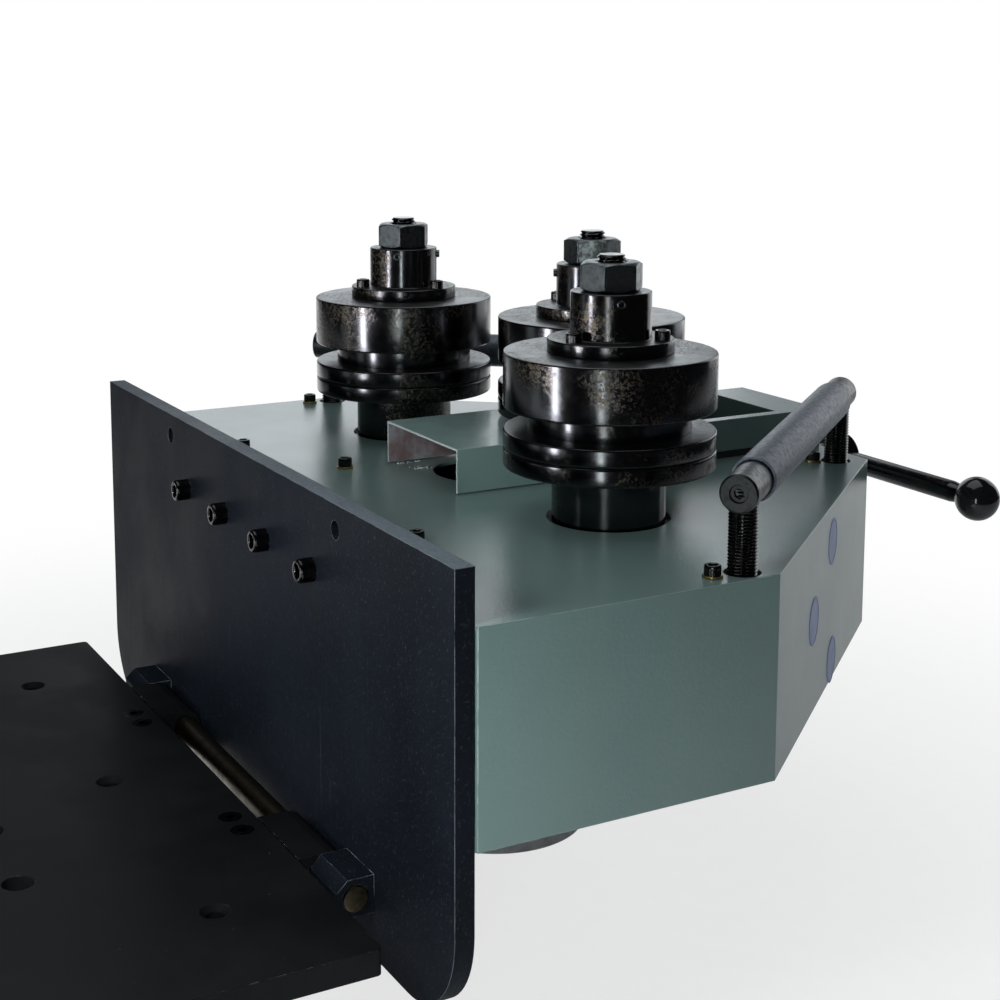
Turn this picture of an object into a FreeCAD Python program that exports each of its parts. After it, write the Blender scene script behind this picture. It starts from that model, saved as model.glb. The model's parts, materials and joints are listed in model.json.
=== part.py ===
import FreeCAD, Part
import math
import os
import re
import Sketcher

# Ring roller with three vertical rolls, tipped back on the hinged top plate of its stand.
# Frame: X along the hinge, +Y away from the stand top, +Z up. The origin lies on the
# underside of the stand top, in the middle of its six bolt holes. All lengths are in mm.

SIZES = {
    # stand top and hinge
    "deck_half_width": 282, "deck_back": -91, "deck_edge": 130, "deck_thick": 15,
    "deck_hole_x": 200, "deck_hole_y": 66, "deck_hole_rad": 5.5, "deck_sink": 3.5,
    "hinge_y": 150, "hinge_z": 3, "hinge_rad": 8, "hinge_fit": 0.05, "hinge_half": 204,
    "face_gap": 12, "knuckle_rad": 11.7, "block_inner": 97, "block_outer": 163,
    "block_tail": 95, "block_foot_inner": 78, "block_depth": 18, "lug_outer": 202,
    "hinge_screw_x1": 89, "hinge_screw_x2": 110, "hinge_screw_y": 116, "hinge_screw_rad": 4,
    "lock_hole_x": 150.6, "lock_hole_z": 207.7, "lock_hole_rad": 6,
    # foot plate
    "foot_half_width": 302.8, "foot_thick": 12, "foot_bottom": -37, "foot_top": 223.7,
    "foot_corner": 57, "foot_screw_pitch": 76.5, "foot_screw_z": 174.5,
    # cover and frame
    "hood_half_width": 306, "hood_near": 174, "hood_shoulder": 370.5, "hood_end": 611.5,
    "hood_bottom": 68, "hood_top": 192, "sheet": 3, "oblique_angle": 40.05,
    "frame_inset": 3.6, "front_plate_thick": 28, "rear_plate_thick": 12,
    "roll_line": 354, "roll_half_spacing": 150, "centre_offset": 80,
    "roll_hole_rad": 40, "slot_front": 348.5, "slot_rear": 540, "stud_hole_rad": 11,
    "pillar_rad": 15,
    # roll stations
    "housing_rad": 36.85, "housing_foot": 149, "housing_top": 226, "housing_flange_rad": 52,
    "housing_flange_thick": 12, "housing_wall": 9.35, "housing_lip": 5, "lip_gap": 1,
    "spindle_rad": 15, "shaft_fit": 0.05, "bearing_width": 13, "spindle_thread_rad": 9.2,
    "spindle_shoulder": 333, "spindle_end": 362, "spindle_foot": 69,
    "roll_rad": 68.5, "roll_bottom": 226.5, "disc_thick": 12, "spacer_rad": 52.25,
    "spacer_thick": 14.3, "upper_thick": 35.6, "edge_break": 1.2,
    "clamp_rad": 40.6, "clamp_thick": 8.6, "hub_rad": 25.95, "hub_thick": 29.9,
    "clamp_screw_circle": 33.5, "nut_flats": 36, "nut_thick": 18.6, "centre_less": 2,
    # gear train
    "tooth_size": 5, "gear_teeth": 36, "pinion_teeth": 24, "gear_foot": 88,
    "gear_thick": 18, "backlash": 0.4, "gear_bore": 15,
    "bush_rad": 20, "bush_flange_rad": 25, "bush_flange_thick": 4,
    # sliding centre station
    "slide_half_width": 46.5, "slide_gap": 0.3, "slide_start": 300,
    "block_front": 379, "block_rear": 490, "boss_front": 472, "boss_half_width": 25,
    "boss_foot": 150, "gib_inner": 38, "gib_outer": 64, "gib_thick": 10, "gib_start": 310,
    "gib_end": 572,
    "cover_half_width": 54.5, "cover_sheet": 1.5, "cover_front": 294, "cover_rear": 472,
    "cover_top": 223.2, "cover_foot": 192.7,
    "rail_half_width": 50, "rail_wall": 9, "rail_front": 404, "rail_bar": 37.5,
    "rail_top": 220.9, "gasket_thick": 5.4,
    # feed screw and lever
    "feed_z": 167, "feed_rad": 12, "nose_rad": 9, "nose_length": 17, "feed_end": 661,
    "feed_collar_rad": 16, "feed_collar": 4, "feed_block_near": 575, "feed_block_far": 605,
    "feed_block_foot": 143, "feed_nut_rad": 18, "feed_hole_rad": 14,
    "knob_hub_rad": 18.7, "knob_hub_thick": 18, "knob_spigot_rad": 10, "arm_rad": 7.9,
    "arm_root": 14, "arm_end": 146, "arm_thread_rad": 5, "ball_rad": 16.2, "ball_x": 157,
    # guide rollers
    "guide_x": 291.9, "guide_span": 305.7, "guide_z": 241, "stud_rad": 8, "stud_foot": 132,
    "stud_top": 247, "axle_rad": 11.5, "axle_overhang": 14, "tube_rad": 13.6,
    "tube_gap": 0.25, "tube_margin": 24,
    # screws
    "cap_rad": 7.5, "cap_height": 10, "cap_shank_rad": 5, "cap_socket": 8,
    "small_cap_rad": 5, "small_cap_height": 6, "small_shank_rad": 3, "small_socket": 5,
    "washer_rad": 6, "washer_thick": 1.5,
    # drive
    "drive_foot": -70, "drive_case_rad": 66, "drive_flange_rad": 76, "drive_flange_thick": 12,
    "drive_bore_depth": 26, "worm_rad": 34, "motor_y": 416, "motor_z": -12, "motor_rad": 60,
    "motor_root": -78, "motor_end": -262, "motor_face_rad": 54, "motor_face_thick": 12,
    "fin_rad": 68, "fin_count": 20, "fin_thick": 2.5, "fin_start": 10, "cowl_rad": 70,
    "cowl_length": 50, "cowl_gap": 4, "terminal_start": 26, "terminal_length": 74,
    "terminal_half": 34, "terminal_top": 90, "terminal_seat_half": 26,
}

WORDS = re.compile(r"[a-z_][a-z0-9_]*")
doc = FreeCAD.newDocument("ring_roller")
sheet = doc.addObject("Spreadsheet::Sheet", "Dim")
for row, (alias, number) in enumerate(SIZES.items(), start=1):
    sheet.set("A%d" % row, alias)
    sheet.set("B%d" % row, str(number))
    sheet.setAlias("B%d" % row, alias)
doc.recompute()

PARTS = []


def expression(text):
    """Point every size named in the text at its cell in the sheet."""
    return WORDS.sub(lambda m: "Dim." + m[0] if m[0] in SIZES else m[0], text)


def value(text):
    """Number that the text gives with the sheet's present sizes."""
    result = sheet.evalExpression(expression(text))
    return float(getattr(result, "Value", result))


def bind(obj, path, text):
    """Tie one property to sizes in the sheet."""
    obj.setExpression(path, expression(text))


def place(obj, at):
    """Tie an object's position to three expressions."""
    for axis, text in zip("xyz", at):
        bind(obj, "Placement.Base." + axis, text)


def new_body(label, at=("0", "0", "0")):
    """Empty sub-part whose Label is its node's name."""
    body = doc.addObject("PartDesign::Body", label)
    body.Label = label
    body.AllowCompound = True
    place(body, at)
    PARTS.append(body)
    return body


def new_sketch(body, plane="XY_Plane", lift="0"):
    """Sketch on one of the body's own origin planes, raised along its normal."""
    sketch = body.newObject("Sketcher::SketchObject", body.Name + "_sketch")
    support = [f for f in body.Origin.OriginFeatures if f.Role == plane][0]
    sketch.AttachmentSupport = [(support, "")]
    sketch.MapMode = "FlatFace"
    bind(sketch, "AttachmentOffset.Base.z", lift)
    return sketch


def pin_point(sketch, geometry, point, x, y):
    """Hold one sketch point at two expressions."""
    for kind, text in (("DistanceX", x), ("DistanceY", y)):
        index = sketch.addConstraint(Sketcher.Constraint(kind, -1, 1, geometry, point, value(text)))
        bind(sketch, "Constraints[%d]" % index, text)


def circle(sketch, x, y, radius):
    """Circle with its centre and radius tied to expressions."""
    centre = FreeCAD.Vector(value(x), value(y), 0)
    upright = FreeCAD.Vector(0, 0, 1)
    geometry = sketch.addGeometry(Part.Circle(centre, upright, value(radius)))
    pin_point(sketch, geometry, 3, x, y)
    index = sketch.addConstraint(Sketcher.Constraint("Radius", geometry, value(radius)))
    bind(sketch, "Constraints[%d]" % index, radius)


def outline(sketch, points):
    """Closed run of straight lines through points given as expression pairs."""
    vectors = [FreeCAD.Vector(value(x), value(y), 0) for x, y in points]
    ends = vectors[1:] + vectors[:1]
    lines = [sketch.addGeometry(Part.LineSegment(a, b)) for a, b in zip(vectors, ends)]
    for line, (x, y) in zip(lines, points):
        following = lines[(line - lines[0] + 1) % len(lines)]
        sketch.addConstraint(Sketcher.Constraint("Coincident", line, 2, following, 1))
        pin_point(sketch, line, 1, x, y)


def hexagon(sketch, x, y, flats, turn=0.0):
    """Hexagon of the given width across flats."""
    corners = []
    for step in range(6):
        angle = turn + 60.0 * step
        corners.append(("%s + (%s) / sqrt(3) * cos(%g)" % (x, flats, angle),
                        "%s + (%s) / sqrt(3) * sin(%g)" % (y, flats, angle)))
    outline(sketch, corners)


def box_outline(sketch, x0, x1, y0, y1):
    """Rectangle between two pairs of expressions."""
    outline(sketch, [(x0, y0), (x1, y0), (x1, y1), (x0, y1)])


def pad(body, sketch, length, reverse=False):
    """Raise a sketch into a solid."""
    feature = body.newObject("PartDesign::Pad", body.Name + "_pad")
    feature.Profile = sketch
    feature.Reversed = reverse
    bind(feature, "Length", length)
    doc.recompute()
    return feature


def pocket(body, sketch, length, reverse=False):
    """Cut a sketch into the body, and insist that it removes something."""
    before = body.Shape.Volume
    feature = body.newObject("PartDesign::Pocket", body.Name + "_pocket")
    feature.Profile = sketch
    feature.Reversed = reverse
    bind(feature, "Length", length)
    doc.recompute()
    if body.Shape.Volume > before - 1e-6:
        raise RuntimeError("a cut in %s removes nothing" % body.Label)
    return feature


def spin(body, sketch, cut=False):
    """Turn a profile about the sketch's upright axis."""
    kind = "PartDesign::Groove" if cut else "PartDesign::Revolution"
    feature = body.newObject(kind, body.Name + "_turned")
    feature.Profile = sketch
    feature.ReferenceAxis = (sketch, ["V_Axis"])
    feature.Angle = 360.0
    doc.recompute()
    return feature


def turned(label, profile, at):
    """Body turned about Z from (radius, height) points."""
    body = new_body(label, at)
    sketch = new_sketch(body, "XZ_Plane")
    outline(sketch, profile)
    spin(body, sketch)
    return body


def repeat_round(body, feature, count):
    """Repeat a feature evenly round the body's upright axis."""
    pattern = body.newObject("PartDesign::PolarPattern", body.Name + "_round")
    pattern.Originals = [feature]
    axis = [f for f in body.Origin.OriginFeatures if f.Role == "Z_Axis"][0]
    pattern.Axis = (axis, [""])
    pattern.Angle = 360.0
    bind(pattern, "Occurrences", count)
    body.Tip = pattern
    doc.recompute()
    return pattern


def edges_where(shape, test):
    """Names of the shape's edges that pass a test."""
    return ["Edge%d" % n for n, edge in enumerate(shape.Edges, start=1) if test(edge)]


def break_edges(body, test, size, kind="PartDesign::Chamfer"):
    """Chamfer or round the edges that pass a test."""
    base = body.Tip
    feature = body.newObject(kind, body.Name + "_edge")
    feature.Base = (base, edges_where(base.Shape, test))
    bind(feature, "Radius" if kind.endswith("Fillet") else "Size", size)
    doc.recompute()
    return feature


def upright_at(x, y, slack=0.5):
    """Test for an upright edge that stands at one place of the plan."""
    def test(edge):
        box = edge.BoundBox
        return (box.ZLength > 1 and box.XLength < 1e-3 and box.YLength < 1e-3
                and abs(box.XMin - x) < slack and abs(box.YMin - y) < slack)
    return test


def ring_edge(radius, z):
    """Test for a full round edge of one radius at one height."""
    def test(edge):
        return (edge.Curve.TypeId == "Part::GeomCircle" and edge.Closed
                and abs(edge.Curve.Radius - radius) < 0.01 and abs(edge.BoundBox.ZMin - z) < 0.01)
    return test


def group(label, members):
    """Like pieces that share one node as separate solids."""
    compound = doc.addObject("Part::Compound", label)
    compound.Label = label
    compound.Links = members
    PARTS.append(compound)
    return compound


def cylinder(name, radius, height, at, tilt=None):
    """Plain round bar, upright unless an axis and angle tilt it."""
    bar = doc.addObject("Part::Cylinder", name)
    bind(bar, "Radius", radius)
    bind(bar, "Height", height)
    if tilt:
        bar.Placement.Rotation = FreeCAD.Rotation(*tilt)
    place(bar, at)
    return bar


def fuse(label, members):
    """Join members into one solid."""
    joined = doc.addObject("Part::MultiFuse", label)
    joined.Label = label
    joined.Shapes = members
    return joined


def cut(label, base, tool):
    """Take a tool away from a base."""
    result = doc.addObject("Part::Cut", label)
    result.Label = label
    result.Base = base
    result.Tool = tool
    return result


ALONG_X = (FreeCAD.Vector(0, 1, 0), 90)
ALONG_Y = (FreeCAD.Vector(1, 0, 0), -90)


def screw_set(label, places, sizes, shank, at=("0", "0", "0"), plane="XY_Plane", outward=True):
    """Socket head screws that stand on the sketch plane at several places."""
    head_rad, head_height, shank_rad, socket = sizes
    body = new_body(label, at)
    heads = new_sketch(body, plane)
    for x, y in places:
        circle(heads, x, y, head_rad)
    pad(body, heads, head_height, reverse=not outward)
    shanks = new_sketch(body, plane)
    for x, y in places:
        circle(shanks, x, y, shank_rad)
    pad(body, shanks, shank, reverse=outward)
    lift = head_height if outward else "-(%s)" % head_height
    sockets = new_sketch(body, plane, lift)
    for x, y in places:
        hexagon(sockets, x, y, socket)
    pocket(body, sockets, "%s * 0.55" % head_height, reverse=not outward)
    return body


LARGE_CAP = ("cap_rad", "cap_height", "cap_shank_rad", "cap_socket")
SMALL_CAP = ("small_cap_rad", "small_cap_height", "small_shank_rad", "small_socket")


def slab_plan(inset):
    """Six corners of the head's plan, drawn in by the inset on every free side."""
    half = "(hood_half_width - %s)" % inset
    near = "hood_near"
    shoulder = "(hood_shoulder - %s * tan(oblique_angle / 2))" % inset
    end = "(hood_end - %s)" % inset
    end_half = ("(hood_half_width - (hood_end - hood_shoulder) * tan(oblique_angle)"
                " - %s * tan((90 - oblique_angle) / 2))" % inset)
    return [("-" + half, near), (half, near), (half, shoulder), (end_half, end),
            ("-" + end_half, end), ("-" + half, shoulder)]


ROLL_PLACES = [("-roll_half_spacing", "roll_line"), ("roll_half_spacing", "roll_line")]
HOOD_SCREWS = [("-292", "333"), ("292", "333"), ("-147", "217.5"), ("147", "217.5"),
               ("-54.3", "260"), ("-90", "571"), ("90", "571")]
PILLARS = [("-270", "220"), ("270", "220"), ("-200", "455"), ("200", "455"),
           ("-125", "540"), ("125", "540")]


def guide_feet():
    """Places of the four guide studs on the plan."""
    far_x = "(guide_x - guide_span * sin(oblique_angle))"
    far_y = "roll_line + guide_span * cos(oblique_angle)"
    return [("guide_x", "roll_line"), (far_x, far_y),
            ("-guide_x", "roll_line"), ("-" + far_x, far_y)]


def deck_plate():
    """Top plate of the stand, bored for its bolts, the hinge screws and the head's screws."""
    body = new_body("deck_plate")
    base = new_sketch(body)
    box_outline(base, "-deck_half_width", "deck_half_width", "deck_back", "deck_edge")
    pad(body, base, "deck_thick")
    holes = new_sketch(body, lift="deck_thick")
    for x in ("-deck_hole_x", "0", "deck_hole_x"):
        for y in ("-deck_hole_y", "deck_hole_y"):
            circle(holes, x, y, "deck_hole_rad")
    pocket(body, holes, "deck_thick")
    screws = new_sketch(body, lift="deck_thick")
    for x in ("-hinge_screw_x2", "-hinge_screw_x1", "hinge_screw_x1", "hinge_screw_x2"):
        circle(screws, x, "hinge_screw_y", "hinge_screw_rad")
    pocket(body, screws, "deck_thick")
    locks = new_sketch(body, lift="deck_thick")
    for x in ("-lock_hole_x", "lock_hole_x"):
        circle(locks, x, "hinge_y - (lock_hole_z - hinge_z)", "lock_hole_rad")
    for step in (-1.5, -0.5, 0.5, 1.5):
        circle(locks, "%g * foot_screw_pitch" % step, "hinge_y - (foot_screw_z - hinge_z)",
               "cap_rad + 2")
    pocket(body, locks, "deck_thick")
    top = value("deck_thick")
    for radius in ("deck_hole_rad", "hinge_screw_rad"):
        break_edges(body, ring_edge(value(radius), top), "deck_sink")
    corners = [upright_at(side * value("deck_half_width"), value("deck_edge")) for side in (-1, 1)]
    break_edges(body, lambda e: corners[0](e) or corners[1](e), "deck_sink",
                "PartDesign::Fillet")


def hinge_blocks():
    """Bearing blocks under the stand top, with a flat that the foot plate rests on."""
    blocks = []
    for side, sign in (("right", 1), ("left", -1)):
        block = doc.addObject("Part::Extrusion", side + "_block_form")
        profile = doc.addObject("Sketcher::SketchObject", side + "_block_profile")
        turn = FreeCAD.Rotation(FreeCAD.Vector(0, 1, 0), FreeCAD.Vector(0, 0, 1),
                                FreeCAD.Vector(1, 0, 0), "ZXY")
        profile.Placement.Rotation = turn
        face = "hinge_y + knuckle_rad"
        crown = "hinge_z + knuckle_rad"
        bend = [("hinge_y + knuckle_rad * cos(%g)" % a, "hinge_z + knuckle_rad * sin(%g)" % a)
                for a in (0, 22.5, 45, 67.5, 90)]
        outline(profile, [("block_tail", "-block_depth"), (face, "-block_depth")] + bend
                + [("deck_edge + 1", crown), ("deck_edge + 1", "0"), ("block_tail", "0")])
        block.Base = profile
        block.Dir = FreeCAD.Vector(1, 0, 0)
        block.Solid = True
        bind(block, "LengthFwd", "block_outer - block_inner")
        place(block, ("block_inner" if sign > 0 else "-block_outer", "0", "0"))
        foot = doc.addObject("Part::Box", side + "_block_foot")
        bind(foot, "Length", "block_inner - block_foot_inner + 1")
        bind(foot, "Width", "deck_edge - block_tail - 5")
        bind(foot, "Height", "block_depth")
        start = "block_foot_inner" if sign > 0 else "-block_inner - 1"
        place(foot, (start, "block_tail", "-block_depth"))
        bore = cylinder(side + "_block_bore", "hinge_rad + hinge_fit", "block_outer * 2",
                        ("-block_outer * 1.0 + %d * block_outer" % sign, "hinge_y", "hinge_z"),
                        ALONG_X)
        holes = [cylinder(side + "_block_hole%d" % n, "hinge_screw_rad", "block_depth + 2",
                          ("%d * hinge_screw_x%d" % (sign, n), "hinge_screw_y",
                           "-block_depth - 1"))
                 for n in (1, 2)]
        body = fuse(side + "_block_whole", [block, foot])
        blocks.append(cut(side + "_hinge_block", body, fuse(side + "_block_holes",
                                                            [bore] + holes)))
    group("hinge_blocks", blocks)


def hinge_screws():
    """Countersunk screws that hold the bearing blocks to the stand top."""
    pieces = []
    for n, x in enumerate(("-hinge_screw_x2", "-hinge_screw_x1", "hinge_screw_x1",
                           "hinge_screw_x2")):
        cone = doc.addObject("Part::Cone", "hinge_screw_head%d" % n)
        bind(cone, "Radius1", "hinge_screw_rad")
        bind(cone, "Radius2", "hinge_screw_rad + deck_sink")
        bind(cone, "Height", "deck_sink")
        place(cone, (x, "hinge_screw_y", "deck_thick - deck_sink"))
        shank = cylinder("hinge_screw_shank%d" % n, "hinge_screw_rad",
                         "deck_thick - deck_sink + block_depth - 4",
                         (x, "hinge_screw_y", "4 - block_depth"))
        socket = doc.addObject("Part::Prism", "hinge_screw_socket%d" % n)
        socket.Polygon = 6
        bind(socket, "Circumradius", "small_socket / sqrt(3)")
        bind(socket, "Height", "deck_sink")
        place(socket, (x, "hinge_screw_y", "deck_thick - deck_sink + 0.5"))
        whole = fuse("hinge_screw_whole%d" % n, [cone, shank])
        pieces.append(cut("hinge_screw%d" % n, whole, socket))
    group("hinge_screws", pieces)


def foot_plate():
    """Plate that the head stands on when upright, with welded lugs on the hinge shaft."""
    body = new_body("foot_plate", ("0", "hinge_y + face_gap", "0"))
    base = new_sketch(body, "XZ_Plane")
    box_outline(base, "-foot_half_width", "foot_half_width", "foot_bottom", "foot_top")
    pad(body, base, "foot_thick", reverse=True)
    for sign in ("", "-"):
        lug = new_sketch(body, "YZ_Plane", "block_outer + slide_gap" if sign == "" else "-lug_outer")
        axis = "-face_gap"
        bend = "knuckle_rad * tan(22.5)"
        outline(lug, [("0.5", "hinge_z - knuckle_rad"), ("0.5", "hinge_z + knuckle_rad"),
                      (axis + " - " + bend, "hinge_z + knuckle_rad"),
                      (axis + " - knuckle_rad", "hinge_z + " + bend),
                      (axis + " - knuckle_rad", "hinge_z - " + bend),
                      (axis + " - " + bend, "hinge_z - knuckle_rad")])
        pad(body, lug, "lug_outer - block_outer - slide_gap")
    bore = new_sketch(body, "YZ_Plane", "-hinge_half")
    circle(bore, "-face_gap", "hinge_z", "hinge_rad")
    pocket(body, bore, "2 * hinge_half", reverse=True)
    holes = new_sketch(body, "XZ_Plane")
    for step in (-1.5, -0.5, 0.5, 1.5):
        circle(holes, "%g * foot_screw_pitch" % step, "foot_screw_z", "cap_shank_rad")
    for x in ("-lock_hole_x", "lock_hole_x"):
        circle(holes, x, "lock_hole_z", "lock_hole_rad")
    pocket(body, holes, "foot_thick", reverse=False)
    low = value("foot_bottom")
    wide = value("foot_half_width")

    def low_corner(edge):
        box = edge.BoundBox
        return (box.YLength > 10 and box.XLength < 1e-3 and box.ZLength < 1e-3
                and abs(box.ZMin - low) < 0.1 and abs(abs(box.XMin) - wide) < 0.1)
    break_edges(body, low_corner, "foot_corner", "PartDesign::Fillet")


def hinge_shaft():
    body = new_body("hinge_shaft", ("-hinge_half", "hinge_y", "hinge_z"))
    sketch = new_sketch(body, "YZ_Plane")
    circle(sketch, "0", "0", "hinge_rad")
    pad(body, sketch, "2 * hinge_half")
    break_edges(body, lambda e: e.Closed, "edge_break")


def foot_screws():
    places = [("%g * foot_screw_pitch" % step, "foot_screw_z") for step in (-1.5, -0.5, 0.5, 1.5)]
    screw_set("foot_screws", places, LARGE_CAP, "foot_thick + 22",
              ("0", "hinge_y + face_gap", "0"), "XZ_Plane", outward=True)


def hood():
    """Folded sheet cover, open below and towards the foot plate."""
    body = new_body("hood")
    plan = new_sketch(body, lift="hood_bottom")
    outline(plan, slab_plan("0"))
    pad(body, plan, "hood_top - hood_bottom")
    inside = new_sketch(body, lift="hood_bottom")
    corners = slab_plan("sheet")
    corners[0] = (corners[0][0], "hood_near - 1")
    corners[1] = (corners[1][0], "hood_near - 1")
    outline(inside, corners)
    pocket(body, inside, "hood_top - hood_bottom - sheet", reverse=True)
    holes = new_sketch(body, lift="hood_top")
    for x, y in ROLL_PLACES:
        circle(holes, x, y, "roll_hole_rad")
    for x, y in guide_feet():
        circle(holes, x, y, "stud_hole_rad")
    for x, y in HOOD_SCREWS:
        circle(holes, x, y, "small_shank_rad")
    pocket(body, holes, "sheet")
    slot = new_sketch(body, lift="hood_top")
    box_outline(slot, "-roll_hole_rad", "roll_hole_rad", "slot_front", "slot_rear")
    pocket(body, slot, "sheet")
    for end in ("slot_front", "slot_rear"):
        bow = new_sketch(body, lift="hood_top")
        circle(bow, "0", end, "roll_hole_rad")
        pocket(body, bow, "sheet")
    screw = new_sketch(body, "XZ_Plane", "-hood_end")
    circle(screw, "0", "feed_z", "feed_hole_rad")
    pocket(body, screw, "sheet + 0.5", reverse=True)


def hood_fixings():
    """Socket screws of the cover, each on its own plain washer."""
    screw_set("hood_screws", HOOD_SCREWS, SMALL_CAP, "sheet + washer_thick + 12",
              ("0", "0", "hood_top + washer_thick"))
    body = new_body("hood_washers", ("0", "0", "hood_top"))
    rings = new_sketch(body)
    for x, y in HOOD_SCREWS:
        circle(rings, x, y, "washer_rad")
        circle(rings, x, y, "small_shank_rad")
    pad(body, rings, "washer_thick")


def front_frame_plate():
    """Thick plate under the cover that carries the rolls and guides the slide."""
    body = new_body("front_frame_plate", ("0", "0", "hood_top - sheet - front_plate_thick"))
    plan = new_sketch(body)
    outline(plan, slab_plan("frame_inset"))
    pad(body, plan, "front_plate_thick")
    slot = new_sketch(body, lift="front_plate_thick")
    box_outline(slot, "-slide_half_width", "slide_half_width", "slide_start", "hood_end + 1")
    pocket(body, slot, "front_plate_thick")
    bores = new_sketch(body, lift="front_plate_thick")
    for x, y in ROLL_PLACES:
        circle(bores, x, y, "housing_rad")
    for x, y in guide_feet():
        circle(bores, x, y, "stud_rad + shaft_fit")
    pocket(body, bores, "front_plate_thick")
    taps = new_sketch(body, lift="front_plate_thick")
    for x, y in HOOD_SCREWS:
        circle(taps, x, y, "small_shank_rad")
    pocket(body, taps, "14")
    edge_taps = new_sketch(body, "XZ_Plane", "-hood_near")
    for step in (-1.5, -0.5, 0.5, 1.5):
        circle(edge_taps, "%g * foot_screw_pitch" % step,
               "foot_screw_z - (hood_top - sheet - front_plate_thick)", "cap_shank_rad")
    pocket(body, edge_taps, "24", reverse=False)


def rear_frame_plate():
    body = new_body("rear_frame_plate", ("0", "0", "hood_bottom"))
    plan = new_sketch(body)
    outline(plan, slab_plan("frame_inset"))
    pad(body, plan, "rear_plate_thick")
    bores = new_sketch(body, lift="rear_plate_thick")
    for x, y in ROLL_PLACES + [("0", "roll_line")]:
        circle(bores, x, y, "bush_rad")
    pocket(body, bores, "rear_plate_thick")


def frame_pillars():
    body = new_body("frame_pillars", ("0", "0", "hood_bottom + rear_plate_thick"))
    sketch = new_sketch(body)
    for x, y in PILLARS:
        circle(sketch, x, y, "pillar_rad")
    length = "hood_top - sheet - front_plate_thick - hood_bottom - rear_plate_thick"
    pad(body, sketch, length)


def rear_bushes():
    """Flanged bushes of the two driven spindles and of the drive pinion."""
    bushes = []
    for n, (x, y) in enumerate(ROLL_PLACES + [("0", "roll_line")]):
        sleeve = cylinder("bush_sleeve%d" % n, "bush_rad", "rear_plate_thick + 1",
                          (x, y, "hood_bottom"))
        flange = cylinder("bush_flange%d" % n, "bush_flange_rad", "bush_flange_thick",
                          (x, y, "hood_bottom + rear_plate_thick"))
        bore = cylinder("bush_bore%d" % n, "spindle_rad + shaft_fit", "rear_plate_thick * 3",
                        (x, y, "hood_bottom - rear_plate_thick"))
        bushes.append(cut("rear_bush%d" % n, fuse("bush_whole%d" % n, [sleeve, flange]), bore))
    group("rear_bushes", bushes)


def housing_profile(flanged):
    """Half section of a bearing housing, from its foot at height zero."""
    length = "(housing_top - housing_foot)"
    seat = "(housing_rad - housing_wall)"
    lip = "(spindle_rad + lip_gap)"
    points = [(seat, "0"), ("housing_rad", "0"), ("housing_rad", length),
              (lip, length), (lip, length + " - housing_lip"), (seat, length + " - housing_lip")]
    if flanged:
        points[1:2] = [("housing_flange_rad", "0"), ("housing_flange_rad", "housing_flange_thick"),
                       ("housing_rad", "housing_flange_thick")]
    return points


def spindle_housings():
    """Fixed bearing housings of the two outer rolls."""
    pieces = []
    for n, (x, y) in enumerate(ROLL_PLACES):
        body = turned("fixed_housing%d" % n, housing_profile(True), (x, y, "housing_foot"))
        PARTS.remove(body)
        pieces.append(body)
    group("spindle_housings", pieces)


def bearing_profile():
    """Half section of a bearing ring, relieved between its races on both faces."""
    outer = "(housing_rad - housing_wall)"
    inner = "(spindle_rad + shaft_fit)"
    return [(inner, "0"), (inner + " + 3.5", "0"), (inner + " + 3.5", "1"),
            (outer + " - 3", "1"), (outer + " - 3", "0"), (outer, "0"),
            (outer, "bearing_width"), (outer + " - 3", "bearing_width"),
            (outer + " - 3", "bearing_width - 1"), (inner + " + 3.5", "bearing_width - 1"),
            (inner + " + 3.5", "bearing_width"), (inner, "bearing_width")]


def bearing_pair(label, places):
    """Lower and upper bearing of every housing in the list."""
    heights = ("housing_foot + 1", "housing_top - housing_lip - bearing_width")
    rings = []
    for n, (x, y) in enumerate(places):
        for m, z in enumerate(heights):
            ring = turned("%s_ring%d%d" % (label, n, m), bearing_profile(), (x, y, z))
            PARTS.remove(ring)
            rings.append(ring)
    group(label, rings)


def spindle(name, x, y, foot, less):
    """Roll shaft with its threaded end, from the foot up."""
    end = "spindle_end - %s / 2" % less
    turned(name, [("0", foot), ("spindle_rad - edge_break", foot),
                  ("spindle_rad", foot + " + edge_break"), ("spindle_rad", "spindle_shoulder"),
                  ("spindle_thread_rad", "spindle_shoulder"),
                  ("spindle_thread_rad", end + " - edge_break"),
                  ("spindle_thread_rad - edge_break", end), ("0", end)],
           (x, y, "0"))


def disc_profile(radius, foot, thick, bore="spindle_rad"):
    """Half section of a bored disc with broken outer edges."""
    top = "%s + %s" % (foot, thick)
    return [(bore, foot), ("%s - edge_break" % radius, foot),
            (radius, "%s + edge_break" % foot), (radius, "%s - edge_break" % top),
            ("%s - edge_break" % radius, top), (bore, top)]


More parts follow.
